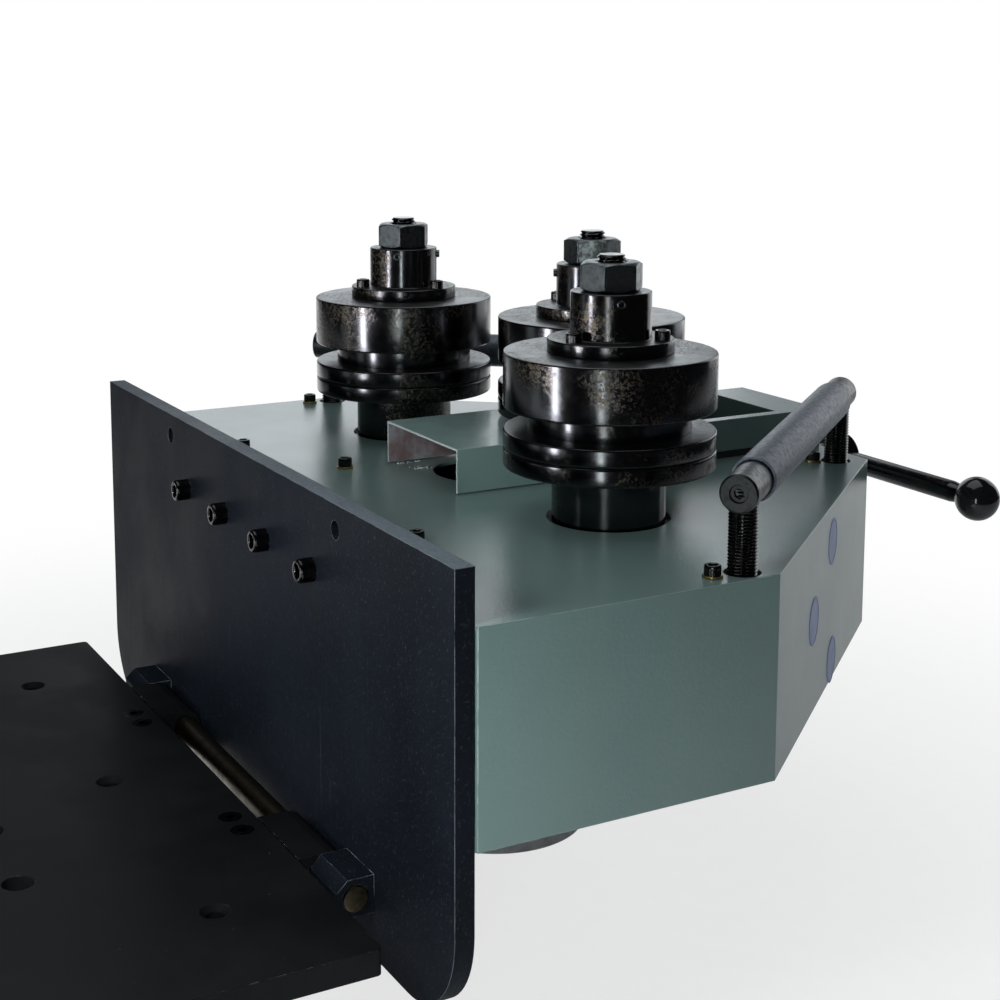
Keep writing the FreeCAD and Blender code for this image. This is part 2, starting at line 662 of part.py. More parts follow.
def roll_stack(side, x, y, upper_thick, screw_turn, nut_turn):
    """Rings, clamp and nut that turn with one spindle."""
    at = (x, y, "roll_bottom")
    discs = []
    for n in (0, 1):
        disc = turned("%s_disc%d" % (side, n),
                      disc_profile("roll_rad", "%d * disc_thick" % n, "disc_thick"), at)
        PARTS.remove(disc)
        discs.append(disc)
    group(side + "_lower_discs", discs)
    level = "2 * disc_thick"
    turned(side + "_spacer_ring", [("spindle_rad", level), ("spacer_rad", level),
                                   ("spacer_rad", level + " + spacer_thick"),
                                   ("spindle_rad", level + " + spacer_thick")], at)
    level += " + spacer_thick"
    upper = turned(side + "_upper_ring", disc_profile("roll_rad", level, upper_thick), at)
    level += " + " + upper_thick
    flange_top = level + " + clamp_thick"
    hub_top = flange_top + " + hub_thick"
    clamp = turned(side + "_clamp_hub",
                   [("spindle_rad", level), ("clamp_rad", level), ("clamp_rad", flange_top),
                    ("hub_rad", flange_top), ("hub_rad", hub_top + " - edge_break"),
                    ("hub_rad - edge_break", hub_top), ("spindle_rad", hub_top)], at)
    angles = [screw_turn + 120 * step for step in range(3)]
    places = [("clamp_screw_circle * cos(%g)" % a, "clamp_screw_circle * sin(%g)" % a)
              for a in angles]
    for body, lift, depth in ((clamp, flange_top, "clamp_thick"), (upper, level, "16")):
        holes = new_sketch(body, lift=lift)
        for hole_x, hole_y in places:
            circle(holes, hole_x, hole_y, "small_shank_rad")
        pocket(body, holes, depth)
    screw_set(side + "_clamp_screws", places, SMALL_CAP, "clamp_thick + 14",
              (x, y, "roll_bottom + " + flange_top))
    spindle_nut(side + "_spindle_nut", x, y, "roll_bottom + " + hub_top, nut_turn)


def spindle_nut(label, x, y, foot, phase):
    """Hexagon nut with its corners turned off at both ends."""
    body = new_body(label, (x, y, foot))
    sketch = new_sketch(body)
    hexagon(sketch, "0", "0", "nut_flats", phase)
    circle(sketch, "0", "0", "spindle_thread_rad")
    pad(body, sketch, "nut_thick")
    reach = "nut_flats / sqrt(3)"
    flats = "nut_flats / 2"
    drop = "(nut_flats / sqrt(3) - nut_flats / 2) * 0.6"
    for foot_z, slope in (("0", drop), ("nut_thick", "-" + drop)):
        groove = new_sketch(body, "XZ_Plane")
        outline(groove, [(flats, foot_z), (reach + " + 1", foot_z),
                         (reach + " + 1", "%s + %s * 1.3" % (foot_z, slope))])
        spin(body, groove, cut=True)


def gear_gap(teeth, tip):
    """Corners of the space between two involute teeth, symmetric about the X axis.

    Half of the space at radius q is pi / teeth less the tooth's half angle there, which is
    (pi * size / 2 - backlash) / (2 * pitch radius) + inv(20 deg) - inv(pressure angle at q).
    """
    module = value("tooth_size")
    pitch = module * teeth / 2.0
    base = pitch * math.cos(math.radians(20))
    thickness = math.pi * module / 2.0 - value("backlash")

    def involute(angle):
        return math.tan(angle) - angle

    def half_gap(radius):
        pressure = math.acos(min(1.0, base / radius))
        tooth = thickness / (2.0 * pitch) + involute(math.radians(20)) - involute(pressure)
        return math.pi / teeth - tooth
    root = pitch - 1.25 * module
    radii = [root, base + 0.3, pitch, tip]
    upper = [FreeCAD.Vector(r * math.cos(half_gap(r)), r * math.sin(half_gap(r)), 0)
             for r in radii]
    lower = [FreeCAD.Vector(v.x, -v.y, 0) for v in reversed(upper)]
    return upper + [upper[-1] + FreeCAD.Vector(2, 0, 0), lower[0] + FreeCAD.Vector(2, 0, 0)] + lower


def gear(label, teeth, at, turn, bore, boss):
    """Spur gear whose tooth spaces are one pocket repeated round a blank."""
    body = new_body(label, at)
    tip = value("tooth_size") * (value(teeth) / 2.0 + 0.9)
    blank = new_sketch(body)
    circle(blank, "0", "0", "tooth_size * (%s / 2 + 0.9)" % teeth)
    pad(body, blank, "gear_thick")
    if boss:
        hub = new_sketch(body, lift="gear_thick")
        circle(hub, "0", "0", "gear_bore + 9")
        pad(body, hub, "7")
    gap = new_sketch(body, lift="gear_thick")
    points = gear_gap(int(value(teeth)), tip)
    spun = FreeCAD.Rotation(FreeCAD.Vector(0, 0, 1), turn)
    points = [spun.multVec(p) for p in points]
    for start, end in zip(points, points[1:] + points[:1]):
        gap.addGeometry(Part.LineSegment(start, end))
    first = pocket(body, gap, "gear_thick")
    repeat_round(body, first, teeth)
    if bore:
        hole = new_sketch(body, lift="gear_thick + 8")
        circle(hole, "0", "0", "gear_bore")
        pocket(body, hole, "gear_thick + 8")
    return body


def drive_train():
    """Two spindle gears and the pinion between them, meshed with backlash."""
    for side, (x, y) in zip(("left", "right"), ROLL_PLACES):
        gear(side + "_drive_gear", "gear_teeth", (x, y, "gear_foot"), 0.0, True, True)
    turn = 180.0 / value("pinion_teeth")
    body = gear("drive_pinion", "pinion_teeth", ("0", "roll_line", "gear_foot"), turn, False, False)
    stub = new_sketch(body)
    circle(stub, "0", "0", "gear_bore")
    pad(body, stub, "gear_foot - hood_bottom + drive_bore_depth - 3", reverse=True)


def slide_gibs():
    body = new_body("slide_gibs", ("0", "0", "hood_top - sheet - front_plate_thick"))
    for sign in ("", "-"):
        sketch = new_sketch(body)
        box_outline(sketch, sign + "gib_inner", sign + "gib_outer", "gib_start", "gib_end")
        pad(body, sketch, "gib_thick", reverse=True)


def u_strip(label, foot, height, inset):
    """U-shaped bar round the rear of the slide opening."""
    body = new_body(label, ("0", "0", foot))
    sketch = new_sketch(body)
    outer = "(rail_half_width - %s)" % inset
    inner = "(rail_half_width - rail_wall + %s)" % inset
    bar = "(hood_end - rail_bar + %s)" % inset
    end = "(hood_end - %s)" % inset
    outline(sketch, [("-" + outer, "rail_front"), ("-" + inner, "rail_front"), ("-" + inner, bar),
                     (inner, bar), (inner, "rail_front"), (outer, "rail_front"), (outer, end),
                     ("-" + outer, end)])
    pad(body, sketch, height)
    return body


def slide_frame():
    """Fixed frame that the sliding cover telescopes over, on its sealing strip."""
    u_strip("slide_frame", "hood_top + gasket_thick", "rail_top - hood_top - gasket_thick", "0")
    u_strip("slide_gasket", "hood_top", "gasket_thick", "1")


def feed_block():
    """Bridge across the end of the slide that holds the feed nut."""
    body = new_body("feed_block", ("0", "feed_block_near", "0"))
    sketch = new_sketch(body, "XZ_Plane")
    box_outline(sketch, "-slide_half_width", "slide_half_width", "feed_block_foot",
                "hood_top - sheet")
    circle(sketch, "0", "feed_z", "feed_nut_rad")
    pad(body, sketch, "feed_block_far - feed_block_near", reverse=True)
    nut = new_body("feed_nut", ("0", "feed_block_near", "feed_z"))
    ring = new_sketch(nut, "XZ_Plane")
    circle(ring, "0", "0", "feed_nut_rad")
    circle(ring, "0", "0", "feed_rad + shaft_fit")
    pad(nut, ring, "feed_block_far - feed_block_near", reverse=True)


def centre_station():
    """Sliding block with the middle roll's housing and the cover over it."""
    centre = "roll_line + centre_offset"
    top = "hood_top - sheet - slide_gap"
    foot = "hood_top - sheet - front_plate_thick + slide_gap"
    block = new_body("carriage_block", ("0", "0", foot))
    plan = new_sketch(block)
    half = "slide_half_width - slide_gap"
    box_outline(plan, "-(%s)" % half, half, "block_front", "block_rear")
    pad(block, plan, "%s - (%s)" % (top, foot))
    boss = new_sketch(block)
    box_outline(boss, "-boss_half_width", "boss_half_width", "boss_front", "block_rear")
    pad(block, boss, "%s - boss_foot" % foot, reverse=True)
    bore = new_sketch(block, lift="front_plate_thick")
    circle(bore, "0", centre, "housing_rad")
    pocket(block, bore, "front_plate_thick")
    nose = new_sketch(block, "XZ_Plane", "-block_rear")
    circle(nose, "0", "feed_z - (%s)" % foot, "nose_rad + shaft_fit")
    pocket(block, nose, "nose_length + 0.5", reverse=True)

    housing = turned("centre_housing", housing_profile(False), ("0", centre, "housing_foot"))
    flange = new_sketch(housing)
    box_outline(flange, "-boss_half_width - 12", "boss_half_width + 12",
                "-housing_flange_rad", "housing_rad")
    pad(housing, flange, "%s - housing_foot" % foot)
    seat = new_sketch(housing)
    circle(seat, "0", "0", "housing_rad - housing_wall")
    pocket(housing, seat, "%s - housing_foot" % foot, reverse=True)
    bearing_pair("centre_bearings", [("0", centre)])

    cover = new_body("sliding_cover", ("0", "0", "cover_foot"))
    outside = new_sketch(cover)
    box_outline(outside, "-cover_half_width", "cover_half_width", "cover_front", "cover_rear")
    pad(cover, outside, "cover_top - cover_foot")
    inside = new_sketch(cover)
    box_outline(inside, "cover_sheet - cover_half_width", "cover_half_width - cover_sheet",
                "cover_front - 1", "cover_rear + 1")
    pocket(cover, inside, "cover_top - cover_foot - cover_sheet", reverse=True)
    hole = new_sketch(cover, lift="cover_top - cover_foot")
    circle(hole, "0", centre, "housing_rad")
    pocket(cover, hole, "cover_sheet")


def feed_screw():
    """Feed screw with its nose in the sliding block, its collar, and the lever's seat."""
    body = new_body("feed_screw", ("0", "block_rear", "feed_z"))
    body.Placement.Rotation = FreeCAD.Rotation(*ALONG_Y)
    sketch = new_sketch(body, "XZ_Plane")
    seat = "feed_end - block_rear"
    end = seat + " + knob_hub_thick + 3"
    outline(sketch, [("0", "-nose_length"), ("nose_rad", "-nose_length"), ("nose_rad", "0.1"),
                     ("feed_collar_rad", "0.1"), ("feed_collar_rad", "feed_collar"),
                     ("feed_rad", "feed_collar"), ("feed_rad", seat), ("knob_spigot_rad", seat),
                     ("knob_spigot_rad", end + " - edge_break"),
                     ("knob_spigot_rad - edge_break", end), ("0", end)])
    spin(body, sketch)


def lever():
    """Hub, arm and ball that turn the feed screw."""
    hub = new_body("lever_hub", ("0", "feed_end", "feed_z"))
    face = new_sketch(hub, "XZ_Plane")
    circle(face, "0", "0", "knob_hub_rad")
    circle(face, "0", "0", "knob_spigot_rad")
    pad(hub, face, "knob_hub_thick", reverse=True)
    break_edges(hub, lambda e: e.Closed and abs(e.Curve.Radius - value("knob_hub_rad")) < 0.01,
                "edge_break")
    socket = new_sketch(hub, "YZ_Plane", "arm_root")
    circle(socket, "knob_hub_thick / 2", "0", "arm_thread_rad")
    pocket(hub, socket, "knob_hub_rad", reverse=True)

    arm = new_body("lever_arm", ("arm_root", "feed_end + knob_hub_thick / 2", "feed_z"))
    arm.Placement.Rotation = FreeCAD.Rotation(*ALONG_X)
    bar = new_sketch(arm, "XZ_Plane")
    inner = "knob_hub_rad + slide_gap - arm_root"
    outer = "arm_end - arm_root"
    tip = "ball_x - arm_root + 6"
    outline(bar, [("0", "0"), ("arm_thread_rad", "0"), ("arm_thread_rad", inner),
                  ("arm_rad", inner), ("arm_rad", outer),
                  ("arm_thread_rad", outer), ("arm_thread_rad", tip), ("0", tip)])
    spin(arm, bar)

    ball = doc.addObject("Part::Sphere", "ball_form")
    bind(ball, "Radius", "ball_rad")
    place(ball, ("ball_x", "feed_end + knob_hub_thick / 2", "feed_z"))
    flat = cylinder("ball_flat", "ball_rad", "arm_end - ball_x + ball_rad",
                    ("ball_x - ball_rad", "feed_end + knob_hub_thick / 2", "feed_z"), ALONG_X)
    hole = cylinder("ball_hole", "arm_thread_rad", "ball_x - arm_end + 6",
                    ("arm_end", "feed_end + knob_hub_thick / 2", "feed_z"), ALONG_X)
    PARTS.append(cut("ball_knob", ball, fuse("ball_tools", [flat, hole])))


def guide(side, sign):
    """Roller on an axle bar that two tall studs carry along the oblique side."""
    x = "%d * guide_x" % sign
    heading = FreeCAD.Rotation(FreeCAD.Vector(0, 0, 1), 90 + sign * value("oblique_angle"))
    lying = heading.multiply(FreeCAD.Rotation(*ALONG_X))
    far_x = "%d * (guide_x - guide_span * sin(oblique_angle))" % sign
    far_y = "roll_line + guide_span * cos(oblique_angle)"
    studs = new_body(side + "_guide_studs", ("0", "0", "stud_foot"))
    feet = new_sketch(studs)
    for foot_x, foot_y in ((x, "roll_line"), (far_x, far_y)):
        circle(feet, foot_x, foot_y, "stud_rad")
    pad(studs, feet, "stud_top - stud_foot")

    out_x = "%s + %d * axle_overhang * sin(oblique_angle)" % (x, sign)
    out_y = "roll_line - axle_overhang * cos(oblique_angle)"
    bar = cylinder(side + "_axle_bar", "axle_rad", "guide_span + 2 * axle_overhang",
                   (out_x, out_y, "guide_z"))
    bar.Placement.Rotation = lying
    seats = [cylinder("%s_stud_seat%d" % (side, n), "stud_rad", "stud_top - guide_z + 20",
                      (seat_x, seat_y, "guide_z - 20"))
             for n, (seat_x, seat_y) in enumerate(((x, "roll_line"), (far_x, far_y)))]
    PARTS.append(cut(side + "_guide_axle", bar, fuse(side + "_stud_seats", seats)))

    in_x = "%s - %d * tube_margin * sin(oblique_angle)" % (x, sign)
    in_y = "roll_line + tube_margin * cos(oblique_angle)"
    tube = new_body(side + "_guide_tube", (in_x, in_y, "guide_z"))
    tube.Placement.Rotation = lying
    ring = new_sketch(tube)
    circle(ring, "0", "0", "tube_rad")
    circle(ring, "0", "0", "axle_rad + tube_gap")
    pad(tube, ring, "guide_span - 2 * tube_margin")


def gearbox():
    """Closed worm gearbox under the rear plate, with the pinion's bore on top."""
    body = new_body("gearbox")
    flange = new_sketch(body, lift="hood_bottom")
    circle(flange, "0", "roll_line", "drive_flange_rad")
    pad(body, flange, "drive_flange_thick", reverse=True)
    case = new_sketch(body, lift="hood_bottom - drive_flange_thick")
    circle(case, "0", "roll_line", "drive_case_rad")
    pad(body, case, "hood_bottom - drive_flange_thick - drive_foot", reverse=True)
    worm = new_sketch(body, "YZ_Plane", "motor_root + motor_face_thick")
    circle(worm, "motor_y", "motor_z", "worm_rad")
    pad(body, worm, "-2 * (motor_root + motor_face_thick)")
    face = new_sketch(body, "YZ_Plane", "motor_root")
    circle(face, "motor_y", "motor_z", "motor_face_rad")
    pad(body, face, "motor_face_thick")
    bore = new_sketch(body, lift="hood_bottom")
    circle(bore, "0", "roll_line", "gear_bore + shaft_fit")
    pocket(body, bore, "drive_bore_depth")


def motor():
    """Flange motor beside the gearbox: finned shell with its fan cover, and terminal box."""
    lying = FreeCAD.Rotation(FreeCAD.Vector(0, 1, 0), -90)
    root = ("motor_root", "motor_y", "motor_z")
    barrel = new_body("motor_barrel", root)
    barrel.Placement.Rotation = lying
    shell = new_sketch(barrel)
    circle(shell, "0", "0", "motor_rad")
    pad(barrel, shell, "motor_root - motor_end")
    fin = new_sketch(barrel, lift="fin_start")
    box_outline(fin, "motor_rad - 2", "fin_rad", "-fin_thick / 2", "fin_thick / 2")
    first = pad(barrel, fin, "motor_root - motor_end - fin_start - cowl_length - cowl_gap")
    repeat_round(barrel, first, "fin_count")
    cowl = new_sketch(barrel, lift="motor_root - motor_end - cowl_length")
    circle(cowl, "0", "0", "cowl_rad")
    pad(barrel, cowl, "cowl_length")
    seat = new_sketch(barrel, lift="terminal_start")
    box_outline(seat, "-fin_rad", "-motor_face_rad", "-terminal_seat_half", "terminal_seat_half")
    pad(barrel, seat, "terminal_length")
    box = new_body("terminal_box", root)
    box.Placement.Rotation = lying
    sides = new_sketch(box, lift="terminal_start")
    box_outline(sides, "-terminal_top", "-fin_rad", "-terminal_half", "terminal_half")
    pad(box, sides, "terminal_length")
    for piece in (barrel, box):
        PARTS.remove(piece)
    group("motor", [barrel, box])


def check_and_write():
    """Stop on any failed object, then write each sub-part to its own file."""
    doc.recompute()
    for obj in doc.Objects:
        if "Invalid" in obj.State or "Error" in obj.State:
            raise RuntimeError("%s did not compute: %s" % (obj.Label, obj.State))
    labels = [part.Label for part in PARTS]
    if len(set(labels)) != len(labels) or len(labels) > 60:
        raise RuntimeError("%d parts, some with one name" % len(labels))
    os.makedirs("parts", exist_ok=True)
    for part in PARTS:
        if part.Shape.isNull() or not part.Shape.isValid():
            raise RuntimeError("%s has no valid shape" % part.Label)
        part.Shape.exportStep("parts/%s.step" % part.Label)
    print("%d parts written" % len(PARTS))


deck_plate()
hinge_blocks()
hinge_screws()
foot_plate()
hinge_shaft()
foot_screws()
hood()
hood_fixings()
front_frame_plate()
rear_frame_plate()
frame_pillars()
rear_bushes()
spindle_housings()
bearing_pair("spindle_bearings", ROLL_PLACES)
slide_gibs()
slide_frame()
feed_block()
centre_station()
feed_screw()
lever()
for name, (spot_x, spot_y), less, screw_phase, nut_phase, foot in (
        ("right", ROLL_PLACES[1], "0", 44, 15.5, "spindle_foot"),
        ("left", ROLL_PLACES[0], "0", 24, 27, "spindle_foot"),
        ("centre", ("0", "roll_line + centre_offset"), "centre_less", 77, 56.4,
         "housing_foot + 0.5")):
    spindle(name + "_spindle", spot_x, spot_y, foot, less)
    roll_stack(name, spot_x, spot_y, "(upper_thick - %s)" % less, screw_phase, nut_phase)
drive_train()
guide("right", 1)
guide("left", -1)
gearbox()
motor()
check_and_write()
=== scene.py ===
import json
import math

import bmesh
import bpy
import numpy as np
from bpy.props import FloatProperty, FloatVectorProperty, IntProperty, PointerProperty
from mathutils import Matrix, Vector

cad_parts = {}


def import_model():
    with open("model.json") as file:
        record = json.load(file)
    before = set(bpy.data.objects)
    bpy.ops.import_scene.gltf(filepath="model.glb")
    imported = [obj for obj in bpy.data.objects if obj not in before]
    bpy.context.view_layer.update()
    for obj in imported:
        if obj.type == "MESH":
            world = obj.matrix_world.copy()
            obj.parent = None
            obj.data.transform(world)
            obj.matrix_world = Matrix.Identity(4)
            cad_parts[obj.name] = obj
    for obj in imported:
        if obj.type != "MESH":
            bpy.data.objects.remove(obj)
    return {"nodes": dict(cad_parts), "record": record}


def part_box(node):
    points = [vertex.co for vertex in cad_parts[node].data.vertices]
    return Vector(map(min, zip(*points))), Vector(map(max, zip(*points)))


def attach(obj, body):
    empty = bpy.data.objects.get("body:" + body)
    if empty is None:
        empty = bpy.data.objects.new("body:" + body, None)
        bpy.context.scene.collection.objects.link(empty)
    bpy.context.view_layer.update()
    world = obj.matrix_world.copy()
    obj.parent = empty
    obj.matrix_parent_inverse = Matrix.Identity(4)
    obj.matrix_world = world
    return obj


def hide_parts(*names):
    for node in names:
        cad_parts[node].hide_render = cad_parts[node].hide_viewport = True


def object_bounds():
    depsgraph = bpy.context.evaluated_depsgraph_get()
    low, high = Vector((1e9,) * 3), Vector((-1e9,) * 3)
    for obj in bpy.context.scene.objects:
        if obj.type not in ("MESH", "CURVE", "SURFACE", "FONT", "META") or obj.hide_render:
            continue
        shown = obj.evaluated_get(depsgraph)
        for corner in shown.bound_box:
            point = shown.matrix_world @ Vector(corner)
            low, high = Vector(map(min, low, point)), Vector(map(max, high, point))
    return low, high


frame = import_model()
CAD_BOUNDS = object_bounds()

bl_info = {
    "name": "Ring roller looks",
    "version": (1, 0, 0),
    "blender": (4, 5, 0),
    "location": "3D View > Sidebar > Ring roller",
    "description": "Turned, threaded and painted surfaces round the ring roller's solid parts",
    "category": "Object",
}

SLOTS = {row["node"]: row["material_slot"] for row in frame["record"]["subparts"]}
BODIES = {node: name for name, row in frame["record"]["behaviour"]["bodies"].items()
          for node in row}
SIDES = ("left", "right", "centre")
FINISHES = {}
UP = (0.0, 0.0, 1.0)

# Sizes in metres and angles in radians, as measured from the photograph

BORE = 0.015
HUB_RADIUS = 0.02595
SHOULDER_HEIGHT = 0.333
CLAMP_CIRCLE = 0.0335
SLANT = math.radians(40.05)
GUIDE_NEAR = (0.2919, 0.354, 0.0)
GUIDE_SPAN = 0.3057
AXLE_OVERHANG = 0.014
TUBE_INSET = 0.024
BALL_RADIUS = 0.0162
PLATE_SCREW_SPACING = 0.0765
PLATE_SCREW_HEIGHT = 0.1745
# Head radius, head height, socket across its flats, shank radius
SMALL_SCREW = (0.005, 0.006, 0.005, 0.003)
LARGE_SCREW = (0.0075, 0.010, 0.008, 0.005)
# Keeps the first and last points of a closed section apart
SEAM = 1e-5


def low(node):
    return np.array(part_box(node)[0])


def high(node):
    return np.array(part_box(node)[1])


def middle(node):
    return (low(node) + high(node)) / 2


# Shapes


def grid_faces(rows, columns, ring):
    """Four-sided faces between neighbouring points of a grid whose columns close on themselves."""
    row = np.arange(rows if ring else rows - 1)[:, None]
    column = np.arange(columns)[None, :]
    below, beside = (row + 1) % rows, (column + 1) % columns
    corners = [row * columns + column, row * columns + beside,
               below * columns + beside, below * columns + column]
    return np.stack(corners, -1).reshape(-1, 4)


def lathe(profile, count=96, factor=1.0, ring=False):
    """Turned surface: a profile point (r, z) goes round the axis as x = f r cos a, y = f r sin a,
    with a factor f on the radius that may change from point to point of the grid."""
    profile = np.asarray(profile, float)
    angle = np.linspace(0, 2 * np.pi, count, endpoint=False)
    radius = profile[:, :1] * factor * np.ones(count)
    height = np.broadcast_to(profile[:, 1:], radius.shape)
    points = np.stack([radius * np.cos(angle), radius * np.sin(angle), height], -1)
    return points.reshape(-1, 3), grid_faces(len(profile), count, ring)


def softened(points, radius, steps=4):
    """Profile whose inner corners P become the parabola (1-t)^2 A + 2t(1-t) P + t^2 B, with A and
    B at the given distance from P towards its two neighbours."""
    points = np.asarray(points, float)
    corner = points[1:-1]

    def towards(neighbour):
        way = neighbour - corner
        length = np.linalg.norm(way, axis=1, keepdims=True)
        return corner + way / length * np.minimum(radius, 0.45 * length)

    start, stop = towards(points[:-2]), towards(points[2:])
    t = np.linspace(0, 1, steps + 1)[:, None, None]
    arcs = (1 - t) ** 2 * start + 2 * t * (1 - t) * corner + t ** 2 * stop
    return np.concatenate([points[:1], arcs.transpose(1, 0, 2).reshape(-1, 2), points[-1:]])


def ring_profile(bore, radius, foot, top, soft):
    """Closed section of a bored disc that starts halfway up its bore."""
    half = (foot + top) / 2
    return softened([(bore, half), (bore, foot), (radius, foot), (radius, top), (bore, top),
                     (bore, half + SEAM)], soft)


def six_sided(count, turn=0.0):
    """Share of the corner radius at which a hexagon's side lies: cos 30 / cos of the angle from
    the middle of that side."""
    angle = np.linspace(0, 2 * np.pi, count, endpoint=False) - turn
    return math.cos(math.pi / 6) / np.cos(np.mod(angle, math.pi / 3) - math.pi / 6)


def placed(surface, at, axis=UP, turn=0.0):
    """The surface turned about its own Z, with that Z then laid along an axis and moved."""
    points, faces = surface
    lay = Vector(UP).rotation_difference(Vector(axis)).to_matrix()
    rotation = np.array(lay @ Matrix.Rotation(turn, 3, "Z"))
    return points @ rotation.T + np.asarray(at, float), faces


def thread(radius, pitch, foot, top, depth=0.6, count=48, steps=8):
    """Screw thread: the radius falls by depth x pitch x w, where w is a triangle wave, cut flat at
    both ends, of height / pitch minus the turn, and the last 0.6 of a pitch narrows to a cone."""
    rows = max(2, int((top - foot) / pitch * steps))
    height = np.linspace(foot, top, rows)[:, None]
    turn = np.linspace(0, 1, count, endpoint=False)[None, :]
    wave = np.abs(np.mod(height / pitch - turn, 1.0) * 2 - 1)
    wave = np.clip(wave * 1.4 - 0.2, 0, 1)
    cone = np.clip((top - height) / (pitch * 0.6), 0, 1)
    deep = depth * pitch
    factor = np.minimum(radius - deep * wave, radius - deep * 1.05 * (1 - cone)) / radius
    ends = np.ones((1, count))
    factor = np.concatenate([ends, factor, ends])
    core = np.full(rows, radius)
    profile = np.column_stack([np.concatenate([[0], core, [0]]),
                               np.concatenate([[foot], height[:, 0], [top]])])
    return lathe(profile, count, factor)


def cap_screw(head, height, socket, shank, length, count=120, teeth=30):
    """Socket cap screw with its head's underside at height zero: a turned profile whose head is
    knurled by a small triangle wave round the axis and whose socket rows follow a hexagon."""
    soft = height * 0.1
    corner = socket / math.sqrt(3)
    rows = [(0, -length, 0, 0), (shank, -length, 0, 0), (shank, 0, 0, 0), (head, 0, 0, 0),
            (head, soft, 0, 1), (head, height * 0.72, 0, 1), (head * 0.99, height * 0.86, 0, 0),
            (head * 0.94, height * 0.96, 0, 0), (head * 0.87, height, 0, 0),
            (corner * 1.1, height, 0, 0), (corner, height * 0.94, 1, 0),
            (corner, height * 0.5, 1, 0), (0, height * 0.36, 0, 0)]
    rows = np.array(rows)
    wave = np.abs(np.mod(np.arange(count) * teeth / count, 1.0) * 2 - 1)
    knurl = 1 - 0.035 * wave * rows[:, 3:4]
    hexagon = 1 + rows[:, 2:3] * (six_sided(count) - 1)
    return lathe(rows[:, :2], count, knurl * hexagon)


def hexagon_nut(flats, bore, height, count=144):
    """Nut whose radius is the smaller of its hexagon's and that of a 30 degree cone from either
    end, which gives the curved corners of a turned nut."""
    corner = flats / math.sqrt(3)
    edge = flats * 0.475
    drop = (corner - edge) * math.tan(math.radians(30))
    near_end = np.linspace(0, drop, 7)
    z = np.concatenate([near_end, (height - near_end)[::-1]])[:, None]
    cone = edge + np.minimum(z, height - z) / math.tan(math.radians(30))
    sides = np.minimum(corner * six_sided(count)[None, :], cone) / corner
    inner = [(bore, height / 2), (bore, 0.0012), (bore + 0.0012, 0.0)]
    outer = [(corner, level) for level in z[:, 0]]
    last = [(bore + 0.0012, height), (bore, height - 0.0012)]
    ones = np.ones((1, count))
    factor = np.concatenate([ones.repeat(3, 0), sides, ones.repeat(2, 0)])
    return lathe(inner + outer + last, count, factor, ring=True)


def bead(at, size, squash, seed):
    """Small blob: a sphere whose radius is changed a little by two waves, pressed flat."""
    a = np.linspace(0, math.pi, 7)
    profile = np.column_stack([np.sin(a) * size, -np.cos(a) * size * squash])
    angle = np.linspace(0, 2 * np.pi, 12, endpoint=False)
    wave = 1 + 0.18 * np.sin(2 * angle + seed) + 0.12 * np.cos(3 * angle + 2 * seed)
    return placed(lathe(profile, 12, np.tile(wave, (7, 1))), at)


def piece(name, surfaces, body, slot, nodes=(), sharp=38, finish=None):
    """One mesh made from several surfaces. It rides on a body and stands for CAD nodes."""
    starts = np.cumsum([0] + [len(points) for points, _ in surfaces[:-1]])
    points = np.concatenate([points for points, _ in surfaces])
    faces = np.concatenate([faces + start for (_, faces), start in zip(surfaces, starts)])
    mesh = bpy.data.meshes.new(name)
    mesh.from_pydata(points.tolist(), [], faces.tolist())
    shell = bmesh.new()
    shell.from_mesh(mesh)
    bmesh.ops.remove_doubles(shell, verts=shell.verts, dist=2e-7)
    bmesh.ops.recalc_face_normals(shell, faces=shell.faces)
    shell.to_mesh(mesh)
    shell.free()
    mesh.shade_smooth()
    mesh.set_sharp_from_angle(angle=math.radians(sharp))
    thing = bpy.data.objects.new(name, mesh)
    bpy.context.scene.collection.objects.link(thing)
    mesh.materials.append(FINISHES[finish or slot])
    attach(thing, body)
    if nodes:
        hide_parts(*nodes)
    return thing


def dress(node, surfaces, **more):
    """A piece that stands for one CAD node, on that node's body and in its slot."""
    return piece(node + "_form", surfaces, BODIES[node], SLOTS[node], [node], **more)


# Finishes


